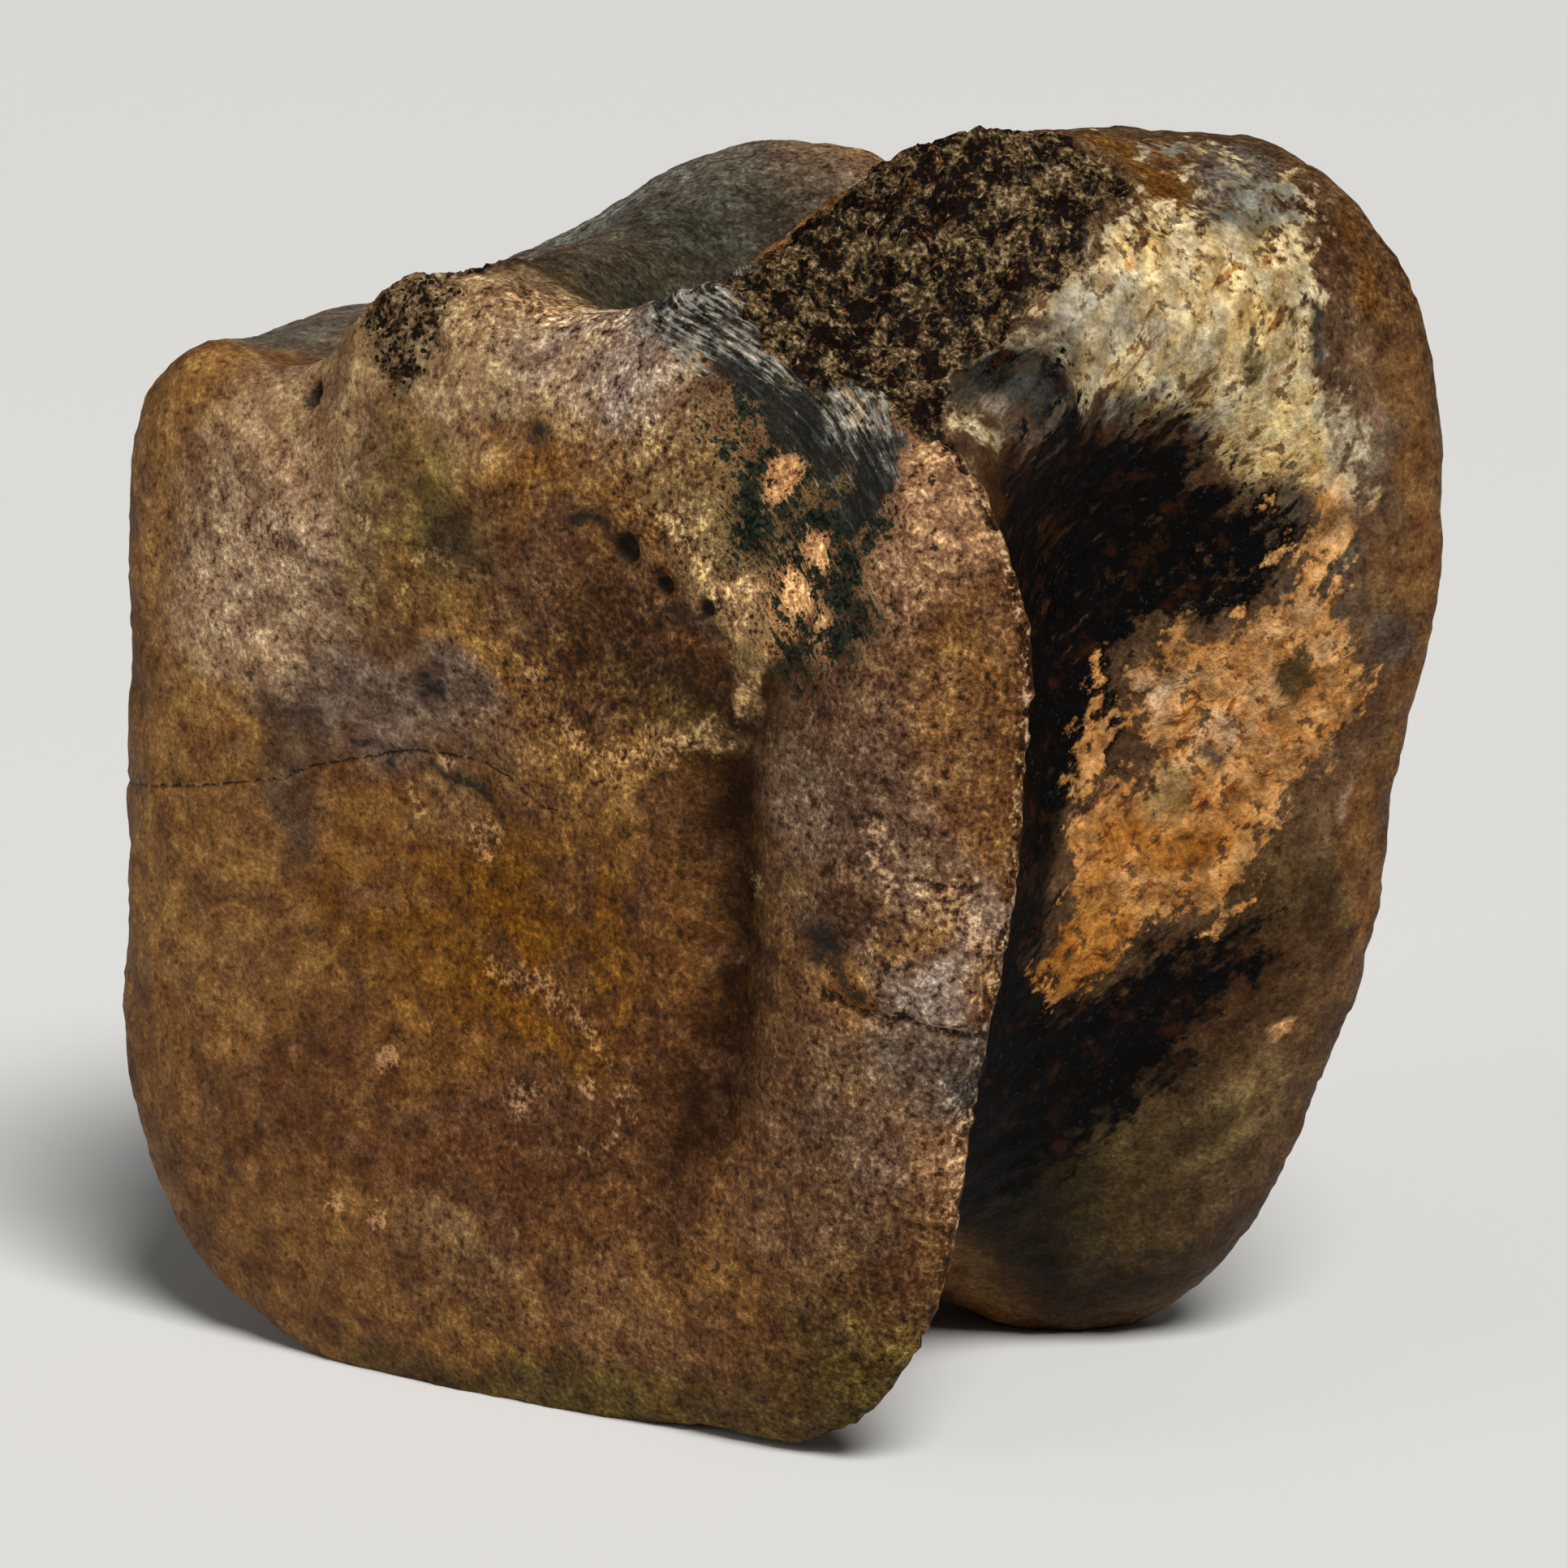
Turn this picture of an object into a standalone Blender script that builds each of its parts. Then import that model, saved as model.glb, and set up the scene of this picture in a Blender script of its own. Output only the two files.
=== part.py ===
"""Fossil vertebra of a duck-billed dinosaur, as one solid.

The bone is the spool-shaped body of a tail vertebra. Its neural arch broke off long ago: two rough
stumps stand on top, with the groove of the neural canal between them. +X is the bone's right as
seen from its smooth near face, +Y runs from the near face to the far one, and +Z is the bone's
upper side. It stands on its lower side, and its origin is the middle of its box, on the floor.
"""

import math

import bmesh
import bpy
import numpy as np

MM = 0.001

# Outlines across the bone at its near rim, its waist and its far rim: points (x, z) in
# millimetres, anticlockwise from the right side. A smooth closed curve joins each set.
NEAR_RIM = [
    (47.9, 56), (47.8, 68.5), (42.6, 79.6), (33, 85.2), (24.5, 90.3), (18, 93.0), (11.5, 90.8),
    (5, 88.8), (0.5, 88.9), (-5, 91.2), (-10, 92.4), (-15.5, 91.3), (-19.5, 88.0), (-23, 84),
    (-28, 82.6), (-35.2, 84.3), (-41.2, 80.6), (-44, 71), (-44.8, 56), (-45.8, 38), (-44.2, 18),
    (-38.0, 7.0), (-26.5, 1.2), (-8, -1.2), (8, -1.2), (19, 0.3), (26.8, 0.2), (33.9, 3.6),
    (39.6, 11.2), (42.2, 18.5), (43.2, 26.5), (45.1, 35), (46.9, 43),
]
WAIST = [
    (36, 50), (36, 62), (38, 72), (42.5, 82), (42.5, 91), (36, 99.8), (28, 103.8),
    (18.5, 99.4), (13.5, 94), (10, 87), (4, 83.5), (-2.5, 86.2), (-8, 91.7), (-14, 92.0),
    (-22, 87.2), (-35.6, 85.4), (-46.6, 82.8), (-51, 77.5), (-48.5, 71), (-42, 64), (-37, 56),
    (-34.5, 45), (-33, 32), (-28, 20), (-18, 12), (-4, 9), (10, 9.5), (20, 12.5),
    (28, 20), (33.5, 32), (35.5, 42),
]
FAR_RIM = [
    (54.5, 71), (54.3, 80.4), (51.4, 89.8), (45.9, 96.3), (37.6, 101.1), (28.3, 102.0), (19, 101),
    (12.5, 95), (6.5, 92), (-0.5, 97.7), (-8.2, 99.0), (-18.3, 97.9), (-28, 92.6), (-38, 87),
    (-46, 80), (-50.5, 70), (-50.5, 58), (-47.5, 44), (-43.5, 28), (-37.5, 14), (-29, 3),
    (-21, -1.7), (-12, 0.2), (0, 3.2), (12, 0.2), (21, -1.9), (29, 2), (37.7, 11.7),
    (44.2, 23.6), (48, 38), (52, 55),
]
AXIS_X, AXIS_Z = 1.0, 47.0

# Stations along the bone
NEAR_FACE_Y = -27.0
FAR_FACE_Y = 33.0
NEAR_ROLL = 7.5
FAR_ROLL = 6.0
WAIST_AT = 0.42

# The rims turn over into the faces from this share of the outline's radius
NEAR_TURN = 0.62
FAR_TURN = 0.72
BOTTOM_ROLL_LOSS = 0.5

# On the right the near rim is a keen edge between these angles: it turns over later and less
KEEN_FROM = math.radians(-50)
KEEN_TO = math.radians(34)
KEEN_FADE = math.radians(18)
KEEN_ROLL_LOSS = 0.3
KEEN_TURN_GAIN = 0.1

# Relief of the two faces: middle (x, z), reach (x, z), and height towards the viewer of that face
NEAR_RELIEF = [
    ((-3, 44), (32, 34), -2.3),
    ((37, 46), (13, 46), 1.5),
    ((22.3, 42), (6, 30), -1.9),
    ((14, 62), (10, 12), -0.9),
    ((-8, 70), (22, 16), 0.7),
]
FAR_RELIEF = [
    ((1, 50), (44, 42), -7.0),
    ((3, 56), (12, 12), -1.2),
]

# Share of the grid's rows that the near face and the flank take
NEAR_ROWS = 0.36
FLANK_ROWS = 0.42
FACE_ROWS = 0.6

SEGMENTS = 88
ROWS = 48
CROWD_ON_TOP = 0.42
CROWD_AT_SIDES = 0.1

# Swells of the flanks: middle (x, y, z), reach (x, y, z) and outward push
SWELLS = [
    ((45, 9, 82), (20, 17, 17), 4.5),
    ((41, -10, 82), (8, 7, 8), 2.2),
    ((-13, -20, 88), (6, 8, 7), 1.2),
    ((-44, 10, 80), (16, 14, 10), 2.0),
    ((1, 0, 9), (9, 22, 8), 1.2),
]

# Broken spongy bone on the two stumps: middle (x, y, z), reach (x, y, z) and roughness
BREAKS = [
    ((29, -5, 95), (14, 19, 13), 1.3),
    ((-13, -13, 90), (8, 12, 8), 0.8),
]
BREAK_SINK = 0.8

# Long low waves of the whole skin, and the two sizes of lumps in the broken bone
SKIN_WAVE = 24.0
SKIN_HEIGHT = 0.35
LUMP_WAVE = 9.0
SMALL_LUMP_WAVE = 5.0
SMALL_LUMP_SHARE = 0.6

BONE_COLOUR = (0.19, 0.115, 0.062, 1.0)
BONE_ROUGHNESS = 0.55


def smooth(t):
    """Smooth step from 0 to 1."""
    t = np.clip(t, 0.0, 1.0)
    return t * t * (3.0 - 2.0 * t)


def radius_of(points, angles):
    """Radius of a closed outline at each angle: a periodic cubic through its points."""
    offsets = np.array(points, dtype=float) - (AXIS_X, AXIS_Z)
    at = np.unwrap(np.arctan2(offsets[:, 1], offsets[:, 0]))
    radii = np.hypot(offsets[:, 0], offsets[:, 1])
    turn = 2.0 * math.pi
    at = np.concatenate([at[-2:] - turn, at, at[:2] + turn])
    radii = np.concatenate([radii[-2:], radii, radii[:2]])
    slopes = np.gradient(radii, at)
    a = at[1] + np.mod(angles - at[1], turn)
    i = np.clip(np.searchsorted(at, a, side="right") - 1, 0, len(at) - 2)
    step = at[i + 1] - at[i]
    t = (a - at[i]) / step
    start = radii[i] * (1 + 2 * t) * (1 - t) ** 2 + slopes[i] * step * t * (1 - t) ** 2
    end = radii[i + 1] * t * t * (3 - 2 * t) + slopes[i + 1] * step * t * t * (t - 1)
    return start + end


def wave_noise(points, wavelength, seed, waves=24):
    """Smooth noise of about unit height: a sum of plane waves in seeded random directions."""
    rng = np.random.default_rng(seed)
    directions = rng.normal(size=(waves, 3))
    directions /= np.linalg.norm(directions, axis=1)[:, None]
    phases = rng.uniform(0.0, 2.0 * math.pi, waves)
    swing = points @ directions.T * (2.0 * math.pi / wavelength) + phases
    return np.sin(swing).sum(axis=1) * math.sqrt(2.0 / waves)


def relief(radius, angles, bumps):
    """Height of a face's low swells and hollows at each point of it."""
    x = AXIS_X + radius * np.cos(angles)
    z = AXIS_Z + radius * np.sin(angles)
    height = np.zeros_like(x)
    for middle, reach, peak in bumps:
        away = np.hypot((x - middle[0]) / reach[0], (z - middle[1]) / reach[1])
        height += peak * (1.0 - smooth(away))
    return height


def keenness(angles):
    """1 where the near rim has a keen edge, on its right, fading to 0 above and below."""
    a = np.mod(angles + math.pi, 2.0 * math.pi) - math.pi
    return smooth((a - KEEN_FROM) / KEEN_FADE + 1.0) * smooth((KEEN_TO - a) / KEEN_FADE + 1.0)


def near_roll(angles):
    """How far the near rim turns back: less under the bone and along the keen edge."""
    roll = NEAR_ROLL * (1.0 - BOTTOM_ROLL_LOSS * np.maximum(-np.sin(angles), 0.0) ** 2)
    return roll * (1.0 - KEEN_ROLL_LOSS * keenness(angles))


def face(angles, t, rim, turn_from, roll):
    """Row t of a face, from its middle (0) to its rim (1): radius and depth behind its plane."""
    turn = np.clip((t - FACE_ROWS) / (1.0 - FACE_ROWS), 0.0, 1.0) * math.pi / 2.0
    share = turn_from * np.clip(t / FACE_ROWS, 0.0, 1.0) + (1.0 - turn_from) * np.sin(turn)
    return share * radius_of(rim, angles), roll * (1.0 - np.cos(turn))


def near_face(angles, t):
    """Radius and y on row t of the near face."""
    turn_from = NEAR_TURN + KEEN_TURN_GAIN * keenness(angles)
    radius, depth = face(angles, t, NEAR_RIM, turn_from, near_roll(angles))
    return radius, NEAR_FACE_Y + depth - relief(radius, angles, NEAR_RELIEF)


def far_face(angles, t):
    """Radius and y on row t of the far face."""
    radius, depth = face(angles, t, FAR_RIM, FAR_TURN, FAR_ROLL)
    return radius, FAR_FACE_Y - depth + relief(radius, angles, FAR_RELIEF)


def flank(angles, t):
    """Radius and y on row t of the flank, from the near rim (0) to the far rim (1).

    Behind the keen edge the near rim's share falls as a square, steepest at the edge.
    """
    keen = keenness(angles)
    way = np.clip(t / WAIST_AT, 0.0, 1.0)
    near = keen * (1.0 - way) ** 2 + (1.0 - keen) * (1.0 - smooth(way))
    far = smooth((t - WAIST_AT) / (1.0 - WAIST_AT))
    near_radius = radius_of(NEAR_RIM, angles)
    far_radius = radius_of(FAR_RIM, angles)
    radius = near * near_radius + far * far_radius
    radius += (1.0 - near - far) * radius_of(WAIST, angles)
    start = NEAR_FACE_Y + near_roll(angles) - relief(near_radius, angles, NEAR_RELIEF)
    end = FAR_FACE_Y - FAR_ROLL + relief(far_radius, angles, FAR_RELIEF)
    return radius, start + (end - start) * t


def within(points, middle, reach):
    """1 at the middle of an egg-shaped region, falling smoothly to 0 at its reach."""
    return 1.0 - smooth(np.linalg.norm((points - middle) / reach, axis=1))


def outward(points):
    """How far each point is pushed away from the bone's axis by swells, waves and breaks."""
    push = SKIN_HEIGHT * wave_noise(points, SKIN_WAVE, 2)
    for middle, reach, height in SWELLS:
        push += height * within(points, middle, reach)
    lumps = wave_noise(points, LUMP_WAVE, 3)
    lumps += SMALL_LUMP_SHARE * wave_noise(points, SMALL_LUMP_WAVE, 4)
    for middle, reach, height in BREAKS:
        push += (height * lumps - BREAK_SINK) * within(points, middle, reach)
    return push


def bone_points(angles, rows):
    """Points of the bone's skin in millimetres, for angles round it and rows 0 to 1 along it."""
    near_radius, near_y = near_face(angles, rows / NEAR_ROWS)
    flank_radius, flank_y = flank(angles, (rows - NEAR_ROWS) / FLANK_ROWS)
    far_radius, far_y = far_face(angles, (1.0 - rows) / (1.0 - NEAR_ROWS - FLANK_ROWS))
    on_near = rows <= NEAR_ROWS
    on_far = rows >= NEAR_ROWS + FLANK_ROWS
    radius = np.where(on_near, near_radius, np.where(on_far, far_radius, flank_radius))
    y = np.where(on_near, near_y, np.where(on_far, far_y, flank_y))
    across = np.stack([np.cos(angles), np.zeros_like(angles), np.sin(angles)], axis=1)
    points = across * radius[:, None] + (AXIS_X, 0.0, AXIS_Z)
    points[:, 1] = y
    share = radius / radius_of(NEAR_RIM, angles)
    points += across * (outward(points) * smooth(share))[:, None]
    points[:, 2] = np.maximum(points[:, 2], 0.0)
    return points


def crowd(angles):
    """Moves grid lines closer together on top, where the stumps and the canal are."""
    return angles + CROWD_ON_TOP * np.cos(angles) - CROWD_AT_SIDES * np.sin(2.0 * angles)


def bone_mesh():
    """A globe of quads whose poles are the middles of the two faces, pushed into shape."""
    mesh = bpy.data.meshes.new("vertebra")
    bm = bmesh.new()
    bmesh.ops.create_uvsphere(bm, u_segments=SEGMENTS, v_segments=ROWS, radius=1.0)
    bm.verts.ensure_lookup_table()
    globe = np.array([v.co for v in bm.verts])
    angles = crowd(np.arctan2(globe[:, 1], globe[:, 0]))
    rows = np.arccos(np.clip(globe[:, 2], -1.0, 1.0)) / math.pi
    points = bone_points(angles, rows)
    points[:, :2] -= (points[:, :2].min(axis=0) + points[:, :2].max(axis=0)) / 2.0
    for vert, point in zip(bm.verts, points):
        vert.co = point * MM
    bm.to_mesh(mesh)
    bm.free()
    mesh.shade_smooth()
    return mesh


def bone_material():
    """Brown fossil bone with a dull polish."""
    material = bpy.data.materials.new("fossil_bone")
    material.use_nodes = True
    shader = material.node_tree.nodes["Principled BSDF"]
    shader.inputs["Base Color"].default_value = BONE_COLOUR
    shader.inputs["Roughness"].default_value = BONE_ROUGHNESS
    shader.inputs["Metallic"].default_value = 0.0
    return material


def main():
    for old in list(bpy.data.objects):
        bpy.data.objects.remove(old, do_unlink=True)
    mesh = bone_mesh()
    mesh.materials.append(bone_material())
    bone = bpy.data.objects.new("vertebra", mesh)
    bpy.context.collection.objects.link(bone)


main()
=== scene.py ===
# %% [markdown]
# # A fossil tail vertebra, dressed
# The object is the spool-shaped body of one tail vertebra of a duck-billed dinosaur. Its near face
# is smooth and brown, its upper arch has broken off, and minerals have stained its right flank
# black, cream and orange. The frame gives the plain solid at its real size. This lesson works the
# same skin out again on a finer grid, carves the small forms into it, paints where each mineral
# lies, and then mixes one bone finish from those painted masks.

# %% The frame, and the units of this lesson
import math

import bpy
import numpy as np
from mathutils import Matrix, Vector


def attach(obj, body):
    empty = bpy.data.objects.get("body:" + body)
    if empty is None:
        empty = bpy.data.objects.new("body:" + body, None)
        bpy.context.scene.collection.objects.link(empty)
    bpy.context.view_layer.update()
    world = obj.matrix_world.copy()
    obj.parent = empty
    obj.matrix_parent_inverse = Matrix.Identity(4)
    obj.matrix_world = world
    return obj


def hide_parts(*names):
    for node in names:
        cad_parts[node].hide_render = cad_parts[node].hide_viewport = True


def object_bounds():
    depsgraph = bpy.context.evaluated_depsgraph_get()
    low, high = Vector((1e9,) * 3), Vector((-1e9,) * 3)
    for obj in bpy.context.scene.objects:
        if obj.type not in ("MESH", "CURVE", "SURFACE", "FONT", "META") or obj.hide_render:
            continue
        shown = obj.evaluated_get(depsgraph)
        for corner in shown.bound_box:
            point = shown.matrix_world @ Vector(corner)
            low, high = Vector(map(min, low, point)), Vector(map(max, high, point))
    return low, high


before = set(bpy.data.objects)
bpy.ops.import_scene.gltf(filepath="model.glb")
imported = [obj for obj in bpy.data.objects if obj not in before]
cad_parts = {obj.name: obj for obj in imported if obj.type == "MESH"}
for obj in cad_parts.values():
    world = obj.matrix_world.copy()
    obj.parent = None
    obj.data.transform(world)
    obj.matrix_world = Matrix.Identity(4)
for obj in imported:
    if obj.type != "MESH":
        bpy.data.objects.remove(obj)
CAD_LOW, CAD_HIGH = [np.array(corner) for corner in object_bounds()]
MM = 0.001
print("the plain solid measures", np.round((CAD_HIGH - CAD_LOW) / MM, 1), "mm")

# %% [markdown]
# ## The outlines of the bone
# A bone like this could be sculpted by hand, but then nothing in it could be changed by a number.
# Three outlines across it, at the near rim, the waist and the far rim, hold its whole shape. They
# are points (x, z) in millimetres, anticlockwise from the bone's right side, and a smooth closed
# curve runs through each set. They are the same outlines that the solid was made from.

# %% Outlines and stations
NEAR_RIM = [
    (47.9, 56), (47.8, 68.5), (42.6, 79.6), (33, 85.2), (24.5, 90.3), (18, 93.0), (11.5, 90.8),
    (5, 88.8), (0.5, 88.9), (-5, 91.2), (-10, 92.4), (-15.5, 91.3), (-19.5, 88.0), (-23, 84),
    (-28, 82.6), (-35.2, 84.3), (-41.2, 80.6), (-44, 71), (-44.8, 56), (-45.8, 38), (-44.2, 18),
    (-38.0, 7.0), (-26.5, 1.2), (-8, -1.2), (8, -1.2), (19, 0.3), (26.8, 0.2), (33.9, 3.6),
    (39.6, 11.2), (42.2, 18.5), (43.2, 26.5), (45.1, 35), (46.9, 43),
]
WAIST = [
    (36, 50), (36, 62), (38, 72), (42.5, 82), (42.5, 91), (36, 99.8), (28, 103.8),
    (18.5, 99.4), (13.5, 94), (10, 87), (4, 83.5), (-2.5, 86.2), (-8, 91.7), (-14, 92.0),
    (-22, 87.2), (-35.6, 85.4), (-46.6, 82.8), (-51, 77.5), (-48.5, 71), (-42, 64), (-37, 56),
    (-34.5, 45), (-33, 32), (-28, 20), (-18, 12), (-4, 9), (10, 9.5), (20, 12.5),
    (28, 20), (33.5, 32), (35.5, 42),
]
FAR_RIM = [
    (54.5, 71), (54.3, 80.4), (51.4, 89.8), (45.9, 96.3), (37.6, 101.1), (28.3, 102.0), (19, 101),
    (12.5, 95), (6.5, 92), (-0.5, 97.7), (-8.2, 99.0), (-18.3, 97.9), (-28, 92.6), (-38, 87),
    (-46, 80), (-50.5, 70), (-50.5, 58), (-47.5, 44), (-43.5, 28), (-37.5, 14), (-29, 3),
    (-21, -1.7), (-12, 0.2), (0, 3.2), (12, 0.2), (21, -1.9), (29, 2), (37.7, 11.7),
    (44.2, 23.6), (48, 38), (52, 55),
]
AXIS_X, AXIS_Z = 1.0, 47.0
NEAR_FACE_Y, FAR_FACE_Y = -27.0, 33.0
NEAR_ROLL, FAR_ROLL = 7.5, 6.0
WAIST_AT = 0.42
KEEN_FROM, KEEN_TO, KEEN_FADE = math.radians(-50), math.radians(34), math.radians(18)
KEEN_ROLL_LOSS, KEEN_TURN_GAIN = 0.3, 0.1
NEAR_TURN, FAR_TURN = 0.62, 0.72
BOTTOM_ROLL_LOSS = 0.5
FACE_ROWS = 0.6
print("outlines:", len(NEAR_RIM), len(WAIST), len(FAR_RIM), "points")

# %% [markdown]
# ## A smooth curve through an outline
# The outline could be a Blender curve, but here the skin needs its radius at any angle, so the
# curve is worked out as a function: seen from the bone's axis, each outline point has an angle and
# a radius, and a cubic joins the radii.


# %% Curves and steps
def smooth(t):
    """Smooth step: 3t^2 - 2t^3 between 0 and 1, flat at both ends."""
    t = np.clip(t, 0.0, 1.0)
    return t * t * (3.0 - 2.0 * t)


def radius_of(points, angles):
    """Radius of a closed outline at each angle.

    Between two outline points the radius is the cubic with their radii and their slopes, where a
    slope is the change of radius with angle from the point before to the point after.
    """
    offsets = np.array(points, dtype=float) - (AXIS_X, AXIS_Z)
    at = np.unwrap(np.arctan2(offsets[:, 1], offsets[:, 0]))
    radii = np.hypot(offsets[:, 0], offsets[:, 1])
    turn = 2.0 * math.pi
    at = np.concatenate([at[-2:] - turn, at, at[:2] + turn])
    radii = np.concatenate([radii[-2:], radii, radii[:2]])
    slopes = np.gradient(radii, at)
    a = at[1] + np.mod(angles - at[1], turn)
    i = np.clip(np.searchsorted(at, a, side="right") - 1, 0, len(at) - 2)
    step = at[i + 1] - at[i]
    t = (a - at[i]) / step
    start = radii[i] * (1 + 2 * t) * (1 - t) ** 2 + slopes[i] * step * t * (1 - t) ** 2
    end = radii[i + 1] * t * t * (3 - 2 * t) + slopes[i + 1] * step * t * t * (t - 1)
    return start + end


print("the near rim's radius on the right is", radius_of(NEAR_RIM, np.zeros(1)).round(2), "mm")

# %% [markdown]
# ## Noise that is the same each run
# Bone is never even. A noise texture could push the surface, but the same noise is wanted in the
# shape and in the paint, so it is worked out here: many plane waves in seeded random directions,
# added up. Octaves of it, each half as long as the one before, give a surface that is rough at
# several sizes.


# %% Noise
def wave_noise(points, wavelength, seed, waves=24):
    """Sum of sines along random directions, scaled to about unit height."""
    rng = np.random.default_rng(seed)
    directions = rng.normal(size=(waves, 3))
    directions /= np.linalg.norm(directions, axis=1)[:, None]
    phases = rng.uniform(0.0, 2.0 * math.pi, waves)
    swing = points @ directions.T * (2.0 * math.pi / wavelength) + phases
    return np.sin(swing).sum(axis=1) * math.sqrt(2.0 / waves)


def octaves(points, wavelength, seed, count, gain=0.55):
    """Noise plus finer noise: each octave has half the wavelength and gain times the height."""
    total = np.zeros(len(points))
    for octave in range(count):
        total += gain**octave * wave_noise(points, wavelength / 2**octave, seed + octave)
    return total


def wander(points, wavelength, seed, reach):
    """The points moved about by up to reach, with a separate noise for x, y and z."""
    drift = [wave_noise(points, wavelength, seed + axis) for axis in range(3)]
    return points + reach * np.stack(drift, axis=1)


def stretched(points, direction, times):
    """The points with their distance along a direction divided by times, to draw out a noise."""
    unit = np.array(direction, dtype=float) / np.linalg.norm(direction)
    along = points @ unit
    return points - np.outer(along * (1.0 - 1.0 / times), unit)


print("noise ready")

# %% [markdown]
# ## The skin as a function of two parameters
# The skin is a globe pulled into shape: one parameter goes round the bone, the other runs from the
# middle of the near face, over its rim, along the flank to the far rim and into the far face. This
# is easier to control than a lathe or a subdivided cube, because every row is a ring of the bone.

# %% Faces, flank and swells
NEAR_RELIEF = [
    ((-3, 44), (32, 34), -2.3),
    ((37, 46), (13, 46), 1.5),
    ((22.3, 42), (6, 30), -1.9),
    ((14, 62), (10, 12), -0.9),
    ((-8, 70), (22, 16), 0.7),
]
FAR_RELIEF = [
    ((1, 50), (44, 42), -7.0),
    ((3, 56), (12, 12), -1.2),
]
SWELLS = [
    ((45, 9, 82), (20, 17, 17), 4.5),
    ((41, -10, 82), (8, 7, 8), 2.2),
    ((-13, -20, 88), (6, 8, 7), 1.2),
    ((-44, 10, 80), (16, 14, 10), 2.0),
    ((1, 0, 9), (9, 22, 8), 1.2),
]
BREAKS = [
    ((29, -5, 95), (14, 19, 13), 1.3),
    ((-13, -13, 90), (8, 12, 8), 0.8),
]
BREAK_SINK = 0.8
SKIN_WAVE, SKIN_HEIGHT = 24.0, 0.35
LUMP_WAVE, SMALL_LUMP_WAVE, SMALL_LUMP_SHARE = 9.0, 5.0, 0.6

NEAR_ROWS, FLANK_ROWS = 0.385, 0.415


def relief(radius, angles, bumps):
    """Height of a face's low swells: each falls as a smooth step from its middle to its reach."""
    x = AXIS_X + radius * np.cos(angles)
    z = AXIS_Z + radius * np.sin(angles)
    height = np.zeros_like(x)
    for middle, reach, peak in bumps:
        away = np.hypot((x - middle[0]) / reach[0], (z - middle[1]) / reach[1])
        height += peak * (1.0 - smooth(away))
    return height


def keenness(angles):
    """1 where the near rim has a keen edge, on its right, fading to 0 above and below."""
    a = np.mod(angles + math.pi, 2.0 * math.pi) - math.pi
    return smooth((a - KEEN_FROM) / KEEN_FADE + 1.0) * smooth((KEEN_TO - a) / KEEN_FADE + 1.0)


def near_roll(angles):
    """How far the near rim turns back: its full roll, less under the bone and where it is keen."""
    roll = NEAR_ROLL * (1.0 - BOTTOM_ROLL_LOSS * np.maximum(-np.sin(angles), 0.0) ** 2)
    return roll * (1.0 - KEEN_ROLL_LOSS * keenness(angles))


def face(angles, t, rim, turn_from, roll):
    """Radius and depth on row t of a face: flat at first, then a quarter turn over the rim."""
    turn = np.clip((t - FACE_ROWS) / (1.0 - FACE_ROWS), 0.0, 1.0) * math.pi / 2.0
    share = turn_from * np.clip(t / FACE_ROWS, 0.0, 1.0) + (1.0 - turn_from) * np.sin(turn)
    return share * radius_of(rim, angles), roll * (1.0 - np.cos(turn))


def near_face(angles, t):
    """Radius and y on row t of the near face."""
    turn_from = NEAR_TURN + KEEN_TURN_GAIN * keenness(angles)
    radius, depth = face(angles, t, NEAR_RIM, turn_from, near_roll(angles))
    return radius, NEAR_FACE_Y + depth - relief(radius, angles, NEAR_RELIEF)


def far_face(angles, t):
    """Radius and y on row t of the far face."""
    radius, depth = face(angles, t, FAR_RIM, FAR_TURN, FAR_ROLL)
    return radius, FAR_FACE_Y - depth + relief(radius, angles, FAR_RELIEF)


def flank(angles, t):
    """Radius and y on row t of the flank: near rim, waist and far rim blended by smooth steps.

    Behind a keen edge the near rim's share falls as a square instead, steepest at the edge.
    """
    keen = keenness(angles)
    way = np.clip(t / WAIST_AT, 0.0, 1.0)
    near = keen * (1.0 - way) ** 2 + (1.0 - keen) * (1.0 - smooth(way))
    far = smooth((t - WAIST_AT) / (1.0 - WAIST_AT))
    near_radius = radius_of(NEAR_RIM, angles)
    far_radius = radius_of(FAR_RIM, angles)
    radius = near * near_radius + far * far_radius
    radius += (1.0 - near - far) * radius_of(WAIST, angles)
    start = NEAR_FACE_Y + near_roll(angles) - relief(near_radius, angles, NEAR_RELIEF)
    end = FAR_FACE_Y - FAR_ROLL + relief(far_radius, angles, FAR_RELIEF)
    return radius, start + (end - start) * t


def within(points, middle, reach):
    """1 at the middle of an egg-shaped region, falling smoothly to 0 at its reach."""
    return 1.0 - smooth(np.linalg.norm((points - middle) / reach, axis=1))


def outward(points):
    """Push away from the bone's axis: long waves, swells, and lumps where the arch broke off."""
    push = SKIN_HEIGHT * wave_noise(points, SKIN_WAVE, 2)
    for middle, reach, height in SWELLS:
        push += height * within(points, middle, reach)
    lumps = wave_noise(points, LUMP_WAVE, 3)
    lumps += SMALL_LUMP_SHARE * wave_noise(points, SMALL_LUMP_WAVE, 4)
    for middle, reach, height in BREAKS:
        push += (height * lumps - BREAK_SINK) * within(points, middle, reach)
    return push


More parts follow.
